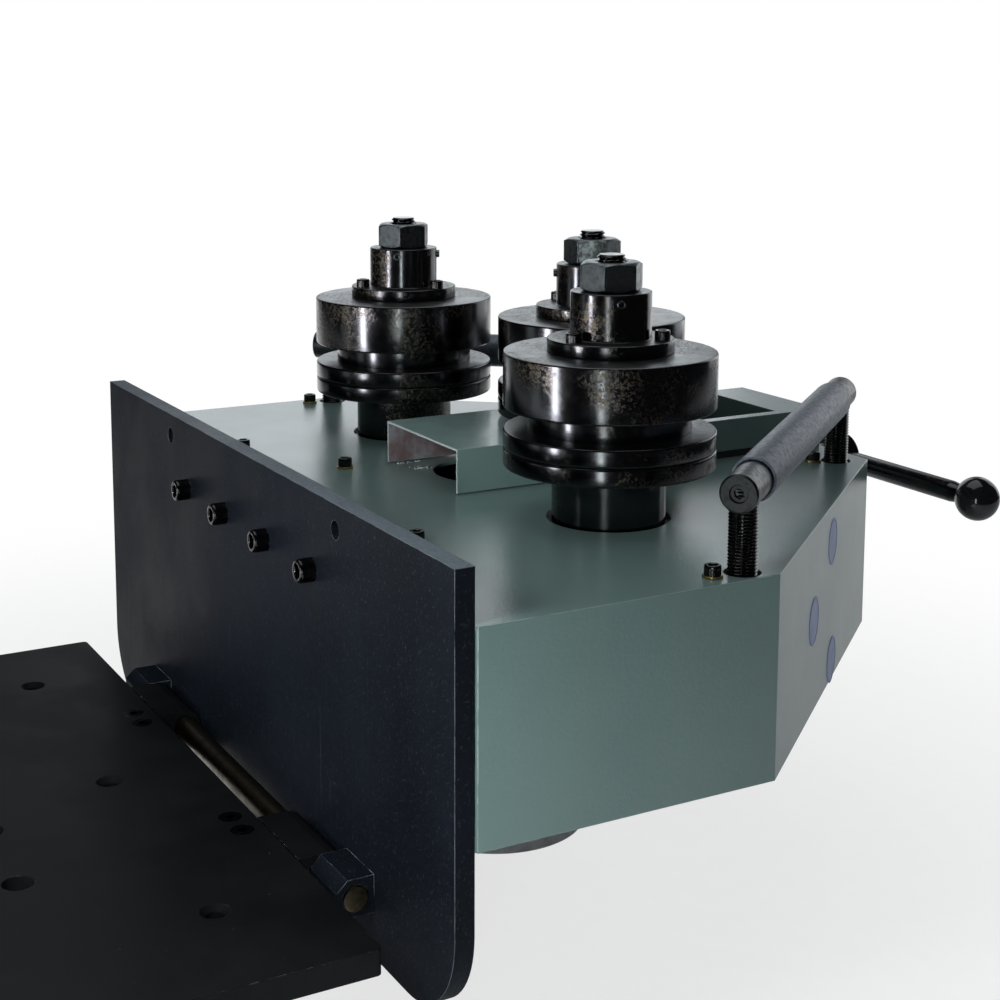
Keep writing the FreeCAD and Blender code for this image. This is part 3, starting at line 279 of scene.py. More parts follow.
class Finish:
    """Node material being written. Each call adds one node and returns its output socket."""

    def __init__(self, name, **sockets):
        self.material = bpy.data.materials.new(name)
        self.material.use_nodes = True
        self.tree = self.material.node_tree
        self.shader = self.tree.nodes["Principled BSDF"]
        for key, value in sockets.items():
            self.set(key.replace("_", " "), value)

    def set(self, key, value):
        socket = self.shader.inputs[key]
        if isinstance(value, bpy.types.NodeSocket):
            self.tree.links.new(value, socket)
        elif hasattr(value, "__len__"):
            socket.default_value = tuple(value)[:3] + (1.0,)
        else:
            socket.default_value = value

    def add(self, kind, inputs, out=0, **settings):
        node = self.tree.nodes.new("ShaderNode" + kind)
        for key, value in settings.items():
            setattr(node, key, value)
        for key, value in inputs.items():
            if isinstance(value, bpy.types.NodeSocket):
                self.tree.links.new(value, node.inputs[key])
            elif value is not None:
                node.inputs[key].default_value = value
        return node.outputs[out]

    def where(self, scale=(1, 1, 1)):
        """The piece's own place, stretched along its axes."""
        place = self.add("TexCoord", {}, "Object")
        return self.add("Mapping", {"Vector": place, "Scale": scale})

    def noise(self, scale, detail=3.0, rough=0.55, stretch=(1, 1, 1), twist=0.0):
        return self.add("TexNoise", {"Vector": self.where(stretch), "Scale": scale,
                                     "Detail": detail, "Roughness": rough, "Distortion": twist})

    def cells(self, scale):
        return self.add("TexVoronoi", {"Vector": self.where(), "Scale": scale}, "Distance")

    def sum(self, operation, a, b=0.0, c=0.0):
        return self.add("Math", {0: a, 1: b, 2: c}, operation=operation)

    def between(self, value, start, stop, low_value=0.0, high_value=1.0):
        """Smooth change from one number to another while the value goes from start to stop."""
        return self.add("MapRange", {"Value": value, "From Min": start, "From Max": stop,
                                     "To Min": low_value, "To Max": high_value},
                        interpolation_type="SMOOTHSTEP")

    def mix(self, share, a, b):
        """Colour between a and b."""
        a, b = [v if isinstance(v, bpy.types.NodeSocket) else tuple(v)[:3] + (1.0,)
                for v in (a, b)]
        return self.add("Mix", {0: share, 6: a, 7: b}, 2, data_type="RGBA")

    def axis(self, index):
        """One coordinate of the place on the piece."""
        return self.add("SeparateXYZ", {0: self.add("TexCoord", {}, "Object")}, index)

    def facing(self, index):
        """How far the surface faces along one axis, from -1 to 1."""
        return self.add("SeparateXYZ", {0: self.add("TexCoord", {}, "Normal")}, index)

    def edges(self, radius, start=0.02, stop=0.2):
        """One along sharp edges, and zero on flat ground."""
        soft = self.add("Bevel", {"Radius": radius}, samples=6)
        flat = self.add("NewGeometry", {}, "Normal")
        agree = self.add("VectorMath", {0: soft, 1: flat}, "Value", operation="DOT_PRODUCT")
        return self.between(self.sum("SUBTRACT", 1.0, agree), start, stop)

    def bump(self, height, depth, normal=None):
        inputs = {"Height": height, "Distance": depth, "Strength": 1.0}
        if normal is not None:
            inputs["Normal"] = normal
        return self.add("Bump", inputs)


def enamel():
    """Stoved grey-green enamel with a fine orange-peel skin and bright worn edges."""
    paint = bpy.context.scene.roller_paint
    f = Finish("green_enamel", Coat_Weight=0.75, Coat_Roughness=0.13, Specular_IOR_Level=0.25)
    cloud = f.noise(7, 4)
    tone = f.mix(f.between(cloud, 0.35, 0.7), paint.enamel, paint.enamel_shade)
    rubbed = f.sum("MULTIPLY", f.edges(0.0009, 0.04, 0.22), f.between(f.noise(90, 4), 0.36, 0.55))
    f.set("Base Color", f.mix(rubbed, tone, paint.bare_edge))
    peel = f.noise(430, 2, 0.6)
    fine = f.noise(1100, 2, 0.6)
    round_edge = f.add("Bevel", {"Radius": 0.0012}, samples=6)
    skin = f.bump(peel, 0.00011, round_edge)
    f.set("Normal", f.bump(fine, 0.00004, skin))
    f.set("Coat Normal", f.bump(fine, 0.00012, f.bump(peel, 0.00014, round_edge)))
    f.set("Roughness", f.between(cloud, 0.3, 0.7, 0.3, 0.38))
    return f.material


def sliding_cover_paint():
    """The enamel, with rusty primer on the inside of the sliding cover and bright cut ends."""
    paint = bpy.context.scene.roller_paint
    f = Finish("cover_enamel", Coat_Weight=0.45, Coat_Roughness=0.14)
    wall = high("sliding_cover")[0] - 0.0013
    roof = high("sliding_cover")[2] - 0.0013
    inside = f.sum("MULTIPLY",
                   f.sum("LESS_THAN", f.sum("ABSOLUTE", f.axis(0)), wall),
                   f.sum("LESS_THAN", f.axis(2), roof))
    stain = f.mix(f.between(f.noise(26, 5, 0.65), 0.38, 0.62), paint.primer_pale, paint.primer)
    streaks = f.noise(60, 4, stretch=(1, 1, 0.4))
    smear = f.mix(f.between(streaks, 0.5, 0.72), stain, paint.primer_pale)
    tone = f.mix(f.between(f.noise(9, 4), 0.35, 0.7), paint.cover, paint.enamel)
    tone = f.mix(inside, tone, smear)
    front = f.sum("LESS_THAN", f.facing(1), -0.6)
    cut = f.sum("MAXIMUM", front, f.edges(0.0009, 0.03, 0.2))
    cut = f.sum("MULTIPLY", cut, f.between(f.noise(120, 3), 0.3, 0.5, 0.6, 1.0))
    f.set("Base Color", f.mix(cut, tone, paint.bare_edge))
    f.set("Roughness", f.between(f.noise(40, 3), 0.3, 0.7, 0.28, 0.4))
    peel = f.noise(520, 2, 0.6)
    f.set("Normal", f.bump(peel, 0.00009, f.add("Bevel", {"Radius": 0.0006}, samples=6)))
    return f.material


def scale_steel():
    """Hot-rolled plate: blue-black scale with cloudy patches, upright scratches and pale edges."""
    paint = bpy.context.scene.roller_paint
    f = Finish("mill_scale_steel", Specular_IOR_Level=0.04)
    cloud = f.between(f.noise(6, 6, 0.6, (1, 1, 0.7)), 0.35, 0.68)
    tone = f.mix(cloud, paint.scale, paint.scale_blue)
    speck = f.between(f.noise(520, 3, 0.75), 0.56, 0.74)
    tone = f.mix(f.sum("MULTIPLY", speck, 0.5), tone, paint.scale_pale)
    scratch = f.between(f.noise(14, 5, 0.75, (30, 1, 0.55), 0.4), 0.64, 0.72)
    scratch = f.sum("MULTIPLY", scratch, f.between(f.noise(5, 2), 0.42, 0.62))
    tone = f.mix(f.sum("MULTIPLY", scratch, 0.7), tone, paint.scale_pale)
    upward = f.between(f.facing(2), 0.6, 0.95)
    rim = f.sum("MULTIPLY", upward, f.between(f.axis(2), 0.2, 0.22))
    grainy = f.between(f.noise(300, 4, 0.7), 0.2, 0.75, 0.55, 1.0)
    tone = f.mix(f.sum("MULTIPLY", rim, grainy), tone, paint.scale_rim)
    # Edges mixed towards the worn-scale colour: partly wear, partly painted highlight standing in
    # for the bright crescents on the rims of the plate's holes
    worn = f.sum("MULTIPLY", f.edges(0.0008, 0.03, 0.2), f.between(f.noise(70, 4), 0.35, 0.55))
    f.set("Base Color", f.mix(worn, tone, paint.scale_worn))
    f.set("Roughness", f.between(cloud, 0, 1, 0.4, 0.52))
    grain = f.bump(f.noise(700, 3, 0.65), 0.00006, f.add("Bevel", {"Radius": 0.0007}, samples=6))
    f.set("Normal", f.bump(scratch, 0.00006, grain))
    return f.material


def satin_black():
    """Black paint on the stand's top plate and its hinge, with dust and rubbed edges."""
    paint = bpy.context.scene.roller_paint
    f = Finish("black_paint", Specular_IOR_Level=0.06)
    cloud = f.between(f.noise(12, 5), 0.35, 0.7)
    tone = f.mix(cloud, paint.black, paint.black_pale)
    dust = f.between(f.cells(160), 0.05, 0.0)
    tone = f.mix(f.sum("MULTIPLY", dust, f.between(f.noise(40, 2), 0.5, 0.7)), tone, paint.bright)
    worn = f.sum("MULTIPLY", f.edges(0.0006, 0.05, 0.3), f.between(f.noise(150, 4), 0.52, 0.64))
    f.set("Base Color", f.mix(f.sum("MULTIPLY", worn, 0.4), tone, paint.bright))
    f.set("Roughness", f.between(cloud, 0, 1, 0.45, 0.55))
    round_edge = f.add("Bevel", {"Radius": 0.0008}, samples=6)
    f.set("Normal", f.bump(f.noise(1100, 2), 0.00004, round_edge))
    return f.material


def blued_steel():
    """Ground rolls blackened in hot oil: deep gloss black, brown speckle in patches that scatters
    the light, faint turning marks, a painted sheen that greys the upward faces and painted
    highlights along the rounded edges."""
    paint = bpy.context.scene.roller_paint
    f = Finish("blued_steel", Metallic=1.0)
    patch = f.between(f.noise(15, 3, 0.6), 0.44, 0.6)
    speck = f.between(f.noise(420, 4, 0.8), 0.48, 0.6)
    rust = f.sum("MULTIPLY", patch, speck)
    cloud = f.between(f.noise(30, 5, 0.65), 0.35, 0.7)
    tone = f.mix(cloud, paint.blued, paint.blued_deep)
    tone = f.mix(f.sum("MULTIPLY", rust, 0.8), tone, paint.oil_brown)
    # Painted sheen: faces that look upward are mixed towards a greyer colour, standing in for the
    # backdrop's reflection on the rolls' top faces
    flat = f.between(f.facing(2), 0.7, 0.98)
    tone = f.mix(flat, tone, paint.blued_face)
    # Painted highlight: the mask called worn here brightens the rounded edges in broken lines,
    # standing in for the thin highlights along the discs' top edges, not wear
    worn = f.sum("MULTIPLY", f.edges(0.0018, 0.015, 0.15),
                 f.between(f.noise(60, 4), 0.3, 0.6, 0.3, 1.0))
    f.set("Base Color", f.mix(f.sum("MULTIPLY", worn, 0.45), tone, paint.bright))
    rough = f.between(f.noise(70, 5, 0.7), 0.35, 0.68, 0.13, 0.2)
    rough = f.sum("ADD", rough, f.sum("MULTIPLY", flat, 0.16))
    f.set("Roughness", f.sum("ADD", rough, f.sum("MULTIPLY", rust, 0.25)))
    turning = f.noise(260, 3, 0.6, (0.05, 0.05, 9))
    f.set("Normal", f.bump(turning, 0.00002, f.bump(rust, 0.00004)))
    return f.material


def black_oxide():
    """Oiled black oxide of screws, studs, spindles and the lever."""
    paint = bpy.context.scene.roller_paint
    f = Finish("black_oxide", Metallic=1.0)
    patch = f.between(f.noise(120, 5, 0.65), 0.45, 0.72)
    tone = f.mix(f.sum("MULTIPLY", patch, 0.25), paint.blued_deep, paint.oil_brown)
    worn = f.sum("MULTIPLY", f.edges(0.0004, 0.03, 0.25), f.between(f.noise(260, 3), 0.4, 0.6))
    f.set("Base Color", f.mix(f.sum("MULTIPLY", worn, 0.6), tone, paint.bright))
    f.set("Roughness", f.between(patch, 0, 1, 0.17, 0.28))
    f.set("Normal", f.bump(f.noise(900, 3), 0.00003))
    return f.material


def worked_steel(name, tone, other, roughness, spread=0.08, grain=500, size=85, metallic=1.0):
    """Bare or thinly coated metal: two tones in small patches, with a fine grain."""
    f = Finish(name, Metallic=metallic)
    patch = f.between(f.noise(size, 5, 0.65), 0.36, 0.68)
    # Edges mixed towards bright metal: partly wear, partly painted highlight standing in for the
    # bright rims on the chamfers of nuts, set screws and guide axle ends
    worn = f.sum("MULTIPLY", f.edges(0.0005, 0.04, 0.3), f.between(f.noise(200, 3), 0.4, 0.6))
    shade = f.mix(patch, tone, other)
    f.set("Base Color", f.mix(worn, shade, bpy.context.scene.roller_paint.bright))
    f.set("Roughness", f.between(patch, 0, 1, roughness, roughness + spread))
    f.set("Normal", f.bump(f.noise(grain, 3, 0.6), 0.00003))
    return f.material


def moulded(name, tone, other, roughness):
    """Smooth resin or rubber with faint clouds."""
    f = Finish(name, Specular_IOR_Level=0.5)
    cloud = f.between(f.noise(60, 3), 0.35, 0.7)
    f.set("Base Color", f.mix(cloud, tone, other))
    f.set("Roughness", f.between(cloud, 0, 1, roughness, roughness + 0.05))
    f.set("Normal", f.bump(f.noise(700, 2), 0.00001))
    return f.material


def make_finishes():
    """Every finish, under the name of its slot."""
    paint = bpy.context.scene.roller_paint
    FINISHES.update({
        "green_enamel": enamel(),
        "cover_enamel": sliding_cover_paint(),
        "mill_scale_steel": scale_steel(),
        "black_paint": satin_black(),
        "blued_steel": blued_steel(),
        "black_oxide": black_oxide(),
        "satin_steel": worked_steel("satin_steel", paint.nut, paint.nut_shade, 0.3, 0.12, 700,
                                    240),
        "phosphate_grey": worked_steel("phosphate_grey", paint.phosphate, paint.phosphate_shade,
                                       0.42, 0.1, 700, 330, 0.55),
        "phosphate_dark": worked_steel("phosphate_dark", paint.axle, paint.axle_shade,
                                       0.33, 0.1, 500, 300),
        "sealant": moulded("sealant", (0.24, 0.28, 0.28), (0.36, 0.4, 0.4), 0.2),
        "bronzed_steel": worked_steel("bronzed_steel", paint.rod, paint.rod_shade, 0.35),
        "bronze": worked_steel("bronze", (0.5, 0.3, 0.12), (0.42, 0.26, 0.12), 0.3),
        "yellow_zinc": worked_steel("yellow_zinc", (0.62, 0.43, 0.12), (0.45, 0.36, 0.2), 0.3),
        "cast_aluminium": worked_steel("cast_aluminium", (0.46, 0.47, 0.48), (0.36, 0.37, 0.38),
                                       0.5, 0.1, 240),
        "machined_steel": worked_steel("machined_steel", (0.34, 0.34, 0.34), (0.24, 0.24, 0.24),
                                       0.28),
        "grey_paint": moulded("grey_paint", (0.11, 0.13, 0.15), (0.085, 0.1, 0.12), 0.38),
        "black_rubber": moulded("black_rubber", (0.012, 0.012, 0.012), (0.02, 0.02, 0.02), 0.6),
        "black_phenolic": moulded("black_phenolic", (0.006, 0.006, 0.007), (0.009, 0.009, 0.01),
                                  0.1),
        "label_disc": moulded("label_disc", paint.label, paint.label_shade, 0.35),
        "label_edge": moulded("label_edge", paint.label_ring, paint.label, 0.35),
    })


class RollerPaint(bpy.types.PropertyGroup):
    """Colours of the finishes, as linear values."""


def colour_property(label, note, default):
    return FloatVectorProperty(name=label, description=note, subtype="COLOR", size=3, min=0.0,
                               max=1.0, default=default)


COLOURS = {
    "enamel": ("Enamel", "Grey-green of the cover", (0.118, 0.178, 0.168)),
    "enamel_shade": ("Enamel shade", "Darker clouds in the enamel", (0.106, 0.16, 0.152)),
    "cover": ("Cover enamel", "Fresher enamel of the sliding cover", (0.165, 0.245, 0.232)),
    "bare_edge": ("Bare edge", "Sheet edge where the enamel is thin", (0.42, 0.47, 0.47)),
    "primer": ("Primer", "Rusty primer inside the sliding cover", (0.15, 0.1, 0.1)),
    "primer_pale": ("Thin primer", "Thin primer over bare sheet", (0.27, 0.27, 0.3)),
    "scale": ("Mill scale", "Dark scale of the foot plate", (0.0042, 0.0052, 0.0074)),
    "scale_blue": ("Blue scale", "Bluer patches of the scale", (0.0062, 0.0082, 0.0125)),
    "scale_pale": ("Scratch", "Scratches and specks in the scale", (0.045, 0.052, 0.062)),
    "scale_rim": ("Cut rim", "Cut top edge of the foot plate", (0.085, 0.105, 0.125)),
    # Partly painted highlight: the same colour also brightens the rims of the foot plate's holes
    "scale_worn": ("Worn scale", "Scale worn along the plate's edges", (0.16, 0.18, 0.2)),
    # Also the colour of painted highlights: the thin lines along the rolls' edges and part of the
    # bright rims on nuts, set screws and guide axle ends
    "bright": ("Bright metal", "Metal worn bright along edges", (0.42, 0.44, 0.46)),
    "black": ("Black paint", "Paint of the stand's plate", (0.0045, 0.0045, 0.005)),
    "black_pale": ("Dusty black", "Dusty clouds in the black", (0.0075, 0.0078, 0.0085)),
    "blued": ("Blued steel", "Black of the rolls", (0.078, 0.08, 0.086)),
    "blued_deep": ("Deep blued steel", "Blacker clouds on the rolls", (0.052, 0.052, 0.055)),
    # Painted sheen: the greyer colour of the rolls' upward faces, in place of their reflection of
    # the backdrop
    "blued_face": ("Roll faces", "Greyer end faces of the rolls", (0.12, 0.125, 0.13)),
    "oil_brown": ("Oil stain", "Brown oil stains", (0.17, 0.13, 0.085)),
    "nut": ("Nut", "Satin steel of the nuts", (0.165, 0.185, 0.19)),
    "nut_shade": ("Nut shade", "Darker patches of the nuts", (0.07, 0.079, 0.083)),
    "phosphate": ("Phosphate", "Grey skin of the guide rollers", (0.125, 0.142, 0.175)),
    "phosphate_shade": ("Phosphate shade", "Darker patches on them", (0.078, 0.09, 0.112)),
    "axle": ("Axle", "Dark skin of the guide axles", (0.09, 0.094, 0.1)),
    "axle_shade": ("Axle shade", "Darker patches on them", (0.045, 0.047, 0.05)),
    "rod": ("Rod", "Oil-browned hinge rod", (0.13, 0.11, 0.075)),
    "rod_shade": ("Rod shade", "Darker patches of the rod", (0.07, 0.055, 0.035)),
    "label": ("Label", "Round plain labels", (0.2, 0.27, 0.47)),
    "label_shade": ("Label shade", "Their darker side", (0.15, 0.21, 0.4)),
    "label_ring": ("Label ring", "Ring round the labels", (0.05, 0.09, 0.28)),
}
RollerPaint.__annotations__ = {key: colour_property(*row) for key, row in COLOURS.items()}


class RollerDetail(bpy.types.PropertyGroup):
    """Sizes of the details that the finished surfaces add."""

    stud_pitch: FloatProperty(name="Stud pitch", description="Thread pitch of the guide studs",
                              default=0.002, min=0.0005, unit="LENGTH")
    spindle_pitch: FloatProperty(name="Spindle pitch",
                                 description="Thread pitch of the spindle ends",
                                 default=0.0025, min=0.0005, unit="LENGTH")
    edge: FloatProperty(name="Edge round", description="Rounding of the rolls' edges",
                        default=0.0014, min=0.0, unit="LENGTH")
    sides: IntProperty(name="Sides", description="Number of steps round a roll", default=160,
                       min=24)
    label_radius: FloatProperty(name="Label radius", description="Radius of the plain labels",
                                default=0.016, min=0.001, unit="LENGTH")


# Pieces


def rings(side):
    """The turned rings of one roll."""
    detail = bpy.context.scene.roller_detail
    count, soft = detail.sides, detail.edge
    axis = middle(side + "_upper_ring") * (1, 1, 0)

    def radius(node):
        return (high(node)[0] - low(node)[0]) / 2

    node = side + "_lower_discs"
    foot, top = low(node)[2], high(node)[2]
    half = (foot + top) / 2
    wide = radius(node)
    discs = [lathe(ring_profile(BORE, wide, foot, half - 0.00005, soft * 1.3), count, ring=True),
             lathe(ring_profile(BORE, wide, half + 0.00005, top, soft * 1.3), count, ring=True)]
    dress(node, [placed(disc, axis) for disc in discs])

    node = side + "_spacer_ring"
    profile = ring_profile(BORE, radius(node), low(node)[2], high(node)[2], 0.0004)
    dress(node, [placed(lathe(profile, count, ring=True), axis)])

    node = side + "_upper_ring"
    profile = ring_profile(BORE, radius(node), low(node)[2], high(node)[2], soft)
    dress(node, [placed(lathe(profile, count, ring=True), axis)])

    node = side + "_clamp_hub"
    foot, top, wide = low(node)[2], high(node)[2], radius(node)
    step = foot + 0.0086
    half = (foot + top) / 2
    profile = softened([(BORE, half), (BORE, foot), (wide, foot), (wide, step),
                        (HUB_RADIUS, step), (HUB_RADIUS, top), (BORE, top),
                        (BORE, half + SEAM)], 0.0009)
    dress(node, [placed(lathe(profile, count, ring=True), axis)])


def set_screws(side, marks):
    """Small socket set screws in the side of a clamp hub, each standing a little proud."""
    axis = middle(side + "_clamp_hub") * (1, 1, 0)
    surfaces = []
    for degrees, height, proud in marks:
        angle = math.radians(degrees)
        out = np.array([math.cos(angle), math.sin(angle), 0.0])
        at = axis + out * (HUB_RADIUS + proud) + (0, 0, height)
        wide, corner = 0.0029, 0.0017
        rows = np.array([(0, -0.006, 0), (wide, -0.006, 0), (wide, -0.0004, 0),
                         (wide - 0.0005, 0, 0), (corner * 1.1, 0, 0), (corner, -0.0002, 1),
                         (corner, -0.002, 1), (0, -0.0026, 0)])
        hexagon = 1 + rows[:, 2:3] * (six_sided(48) - 1)
        surfaces.append(placed(lathe(rows[:, :2], 48, hexagon), at, out))
    # Painted glint: these black oxide screws get the lighter satin steel finish, so that they show
    # as bright glints on the hubs
    piece(side + "_set_screws", surfaces, BODIES[side + "_clamp_hub"], "black_oxide",
          finish="satin_steel")


def spindle_end(side):
    """Spindle with its threaded end."""
    detail = bpy.context.scene.roller_detail
    node = side + "_spindle"
    axis = middle(node) * (1, 1, 0)
    foot, top = low(node)[2], high(node)[2]
    shaft = lathe(softened([(0, foot), (BORE, foot), (BORE, SHOULDER_HEIGHT),
                            (0.0085, SHOULDER_HEIGHT), (0, SHOULDER_HEIGHT)], 0.0012), 96)
    end = thread(0.0092, detail.spindle_pitch, SHOULDER_HEIGHT, top, 0.5, 64)
    dress(node, [placed(shaft, axis), placed(end, axis)])


def nut(side):
    """Spindle nut turned to the same side as its solid."""
    node = side + "_spindle_nut"
    axis = middle(node) * (1, 1, 0) + (0, 0, low(node)[2])
    turn = {"right": 15.5, "left": 27, "centre": 56.4}[side]
    flats = 0.036
    shape = hexagon_nut(flats, 0.0096, high(node)[2] - low(node)[2])
    dress(node, [placed(shape, axis, UP, math.radians(turn))])


def clamp_screws(side):
    """Three cap screws through a clamp hub's flange."""
    node = side + "_clamp_screws"
    centre = middle(side + "_clamp_hub") * (1, 1, 0) + (0, 0, high(node)[2] - 0.006)
    turn = {"right": 44, "left": 24, "centre": 77}[side]
    surfaces = []
    for step in range(3):
        angle = math.radians(turn + 120 * step)
        at = centre + CLAMP_CIRCLE * np.array([math.cos(angle), math.sin(angle), 0])
        surfaces.append(placed(cap_screw(*SMALL_SCREW, 0.014), at, UP, angle))
    dress(node, surfaces)


HOOD_SCREWS = ((-0.0543, 0.26), (0.292, 0.333), (-0.292, 0.333), (0.147, 0.2175), (-0.147, 0.2175),
               (0.09, 0.571), (-0.09, 0.571))


def cover_screws():
    """Cap screws of the cover, each on a yellow washer."""
    top = high("hood")[2]
    washer = 0.0015
    screws, washers = [], []
    for n, (x, y) in enumerate(HOOD_SCREWS):
        screws.append(placed(cap_screw(*SMALL_SCREW, 0.015), (x, y, top + washer), UP, n))
        profile = ring_profile(0.0033, 0.006, 0.0, washer, 0.0004)
        washers.append(placed(lathe(profile, 48, ring=True), (x, y, top)))
    dress("hood_screws", screws)
    dress("hood_washers", washers)


def plate_screws():
    """Four large cap screws in the foot plate, with their heads towards the stand's plate."""
    face = low("foot_screws")[1] + LARGE_SCREW[1]
    surfaces = []
    for step in (-1.5, -0.5, 0.5, 1.5):
        at = (step * PLATE_SCREW_SPACING, face, PLATE_SCREW_HEIGHT)
        surfaces.append(placed(cap_screw(*LARGE_SCREW, 0.034), at, (0, -1, 0), step))
    dress("foot_screws", surfaces)


def guide_direction(side):
    """Unit vector along one guide roller's axle, away from the hinge."""
    across = -1.0 if side == "right" else 1.0
    return np.array([across * math.sin(SLANT), math.cos(SLANT), 0.0])


def guide_roller(side):
    """Studs with rolled threads, the axle across them and the tube that turns on it."""
    detail = bpy.context.scene.roller_detail
    way = guide_direction(side)
    sign = 1.0 if side == "right" else -1.0
    near = np.array(GUIDE_NEAR) * (sign, 1.0, 1.0)
    far = near + GUIDE_SPAN * way
    node = side + "_guide_studs"
    foot, top = low(node)[2], high(node)[2]
    studs = [placed(thread(0.0088, detail.stud_pitch, foot, top, 0.45), at) for at in (near, far)]
    dress(node, studs)

    level = middle(side + "_guide_axle")[2]
    length = GUIDE_SPAN + 2 * AXLE_OVERHANG
    start = near - AXLE_OVERHANG * way + (0, 0, level)
    socket = six_sided(96)
    near_end = [(0, 0.006, 0), (0.0034, 0.0055, 1), (0.0034, 0.0014, 1), (0.0048, 0.0014, 0),
                (0.0056, 0.0, 0), (0.0103, 0.0, 0), (0.0115, 0.0012, 0)]
    far_end = [(r, length - z, turned) for r, z, turned in reversed(near_end)]
    rows = np.array(near_end + far_end)
    factor = 1 + rows[:, 2:3] * (socket - 1)
    shape = placed(lathe(rows[:, :2], 96, factor), start, way)
    dress(side + "_guide_axle", [shape], finish="phosphate_dark")

    start = near + TUBE_INSET * way + (0, 0, level)
    span = GUIDE_SPAN - 2 * TUBE_INSET
    profile = softened([(0.01175, span / 2), (0.01175, 0.0), (0.0136, 0.0), (0.0136, span),
                        (0.01175, span), (0.01175, span / 2 + SEAM)], 0.0006)
    dress(side + "_guide_tube", [placed(lathe(profile, 96, ring=True), start, way)])


def feed_lever():
    """Lever with its hub, necked arm and ball."""
    ball = middle("ball_knob")
    ball[1], ball[2] = middle("lever_arm")[1:]
    start = low("lever_arm")[0]
    length = high("lever_arm")[0] - start
    rows = softened([(0, 0.0), (0.005, 0.0), (0.005, 0.005), (0.0079, 0.005), (0.0079, 0.118),
                     (0.0064, 0.128), (0.005, 0.132), (0.005, length), (0, length)], 0.001)
    dress("lever_arm", [placed(lathe(rows, 64), (start, ball[1], ball[2]), (1, 0, 0))])
    a = np.linspace(0, math.pi, 41)
    ball_rows = np.column_stack([np.sin(a) * BALL_RADIUS, -np.cos(a) * BALL_RADIUS])
    ball_rows[0, 0] = ball_rows[-1, 0] = 0
    neck = softened([(0, -0.0168), (0.0062, -0.0168), (0.0066, -0.0145), (0, -0.0145)], 0.0003)
    centre = (high("ball_knob")[0] - BALL_RADIUS, ball[1], ball[2])
    dress("ball_knob", [placed(lathe(ball_rows, 64), centre, (1, 0, 0)),
                        placed(lathe(neck, 48), centre, (1, 0, 0))])


def hinge_rod():
    """Round rod of the tilting hinge, with chamfered ends."""
    node = "hinge_shaft"
    start, length = low(node)[0], high(node)[0] - low(node)[0]
    rows = softened([(0, 0), (0.008, 0), (0.008, length), (0, length)], 0.001)
    dress(node, [placed(lathe(rows, 64), (start, *middle(node)[1:]), (1, 0, 0))])


def labels():
    """Three plain round labels on the cover's slanted side, each a disc with a raised ring."""
    radius = bpy.context.scene.roller_detail.label_radius
    outward = np.array([math.cos(SLANT), math.sin(SLANT), 0])
    spots = ((0.1937, 0.504, 0.1661), (0.2337, 0.4565, 0.1298), (0.1892, 0.5095, 0.0819))
    discs, edges = [], []
    for spot in spots:
        at = np.array(spot) - outward * 0.0001
        rows = [(0, 0), (radius, 0), (radius, 0.00025), (0, 0.00025)]
        discs.append(placed(lathe(rows, 64), at, outward))
        rows = ring_profile(radius * 0.86, radius * 0.97, 0.0002, 0.0004, 0.00005)
        edges.append(placed(lathe(rows, 64, ring=True), at, outward))
    piece("round_labels", discs, "head", "green_enamel", finish="label_disc")
    piece("round_label_rings", edges, "head", "green_enamel", finish="label_edge")


def cover_beads():
    """Beads of dried sealant by the foot of the sliding cover's far wall."""
    draw = np.random.default_rng(7)
    top = high("hood")[2]
    surfaces = []
    for n in range(44):
        if n % 2:
            x, y = -0.0488 + abs(draw.normal(0, 0.001)), draw.uniform(0.296, 0.316)
        else:
            x, y = -0.027 + draw.normal(0, 0.0035), 0.307 + draw.normal(0, 0.004)
        size = draw.uniform(0.0004, 0.0015)
        surfaces.append(bead((x, y, top + size * 0.2), size, 0.55, n))
    piece("sealant_beads", surfaces, "head", "green_enamel", sharp=180, finish="sealant")


def finish_solids():
    """Gives each CAD node its finish."""
    special = {"sliding_cover": "cover_enamel"}
    for name, node in frame["nodes"].items():
        node.data.materials.clear()
        node.data.materials.append(FINISHES[special.get(name, SLOTS[name])])


# Stage

FLOOR_RADIUS = 2.6
FLOOR_CENTRE = (-1.6, 1.1)
FLOOR_GAP = 0.0005
CAMERA_PLACE = (1.061927, -0.235598, 0.478546)
CAMERA_LENS = 62.13
CAMERA_SHIFT = (0.0004, -0.1837)
# Place, size, watts and tint of each lamp
LAMPS = {
    "strip_left": ((0.12, -1.05, 0.15), (0.16, 0.6), 7.4, (0.95, 0.95, 1.0)),
    "strip_camera": ((1.1, -0.48, 0.15), (0.11, 0.6), 2.1, (0.93, 1.0, 0.97)),
    "strip_side": ((-0.5, -1.0, 0.15), (0.3, 0.6), 0.3, (0.9, 1.0, 0.95)),
    "box_right": ((-0.47, 2.26, 0.7), (1.2, 1.4), 6.0, (0.95, 0.98, 1.0)),
    "box_over": ((-0.3, 0.4, 2.3), (2.0, 2.0), 14.0, (0.97, 1.0, 1.0)),
    "box_back": ((-1.8, 1.2, 0.9), (1.2, 1.2), 3.9, (0.93, 0.98, 1.0)),
    "fill_left": ((0.38, -0.22, 0.42), (0.2, 0.2), 3.0, (0.93, 1.0, 1.0)),
    "fill_side": ((0.45, 0.1, 0.05), (0.06, 0.3), 0.2, (0.93, 1.0, 1.0)),
}
FILL_TARGETS = {"fill_left": (0.1, 0.2, 0.19), "fill_side": (0.29, 0.2, 0.05)}
BEHIND = (-0.873, 0.487, 0.0)
BACKDROP = (0.72, 0.93)
STUDIO_FRONT = (0.02, 0.02, 0.022, 1)
STUDIO_BACK = (0.42, 0.45, 0.48, 1)
STUDIO_FILL = (0.19, 0.2, 0.21, 1)


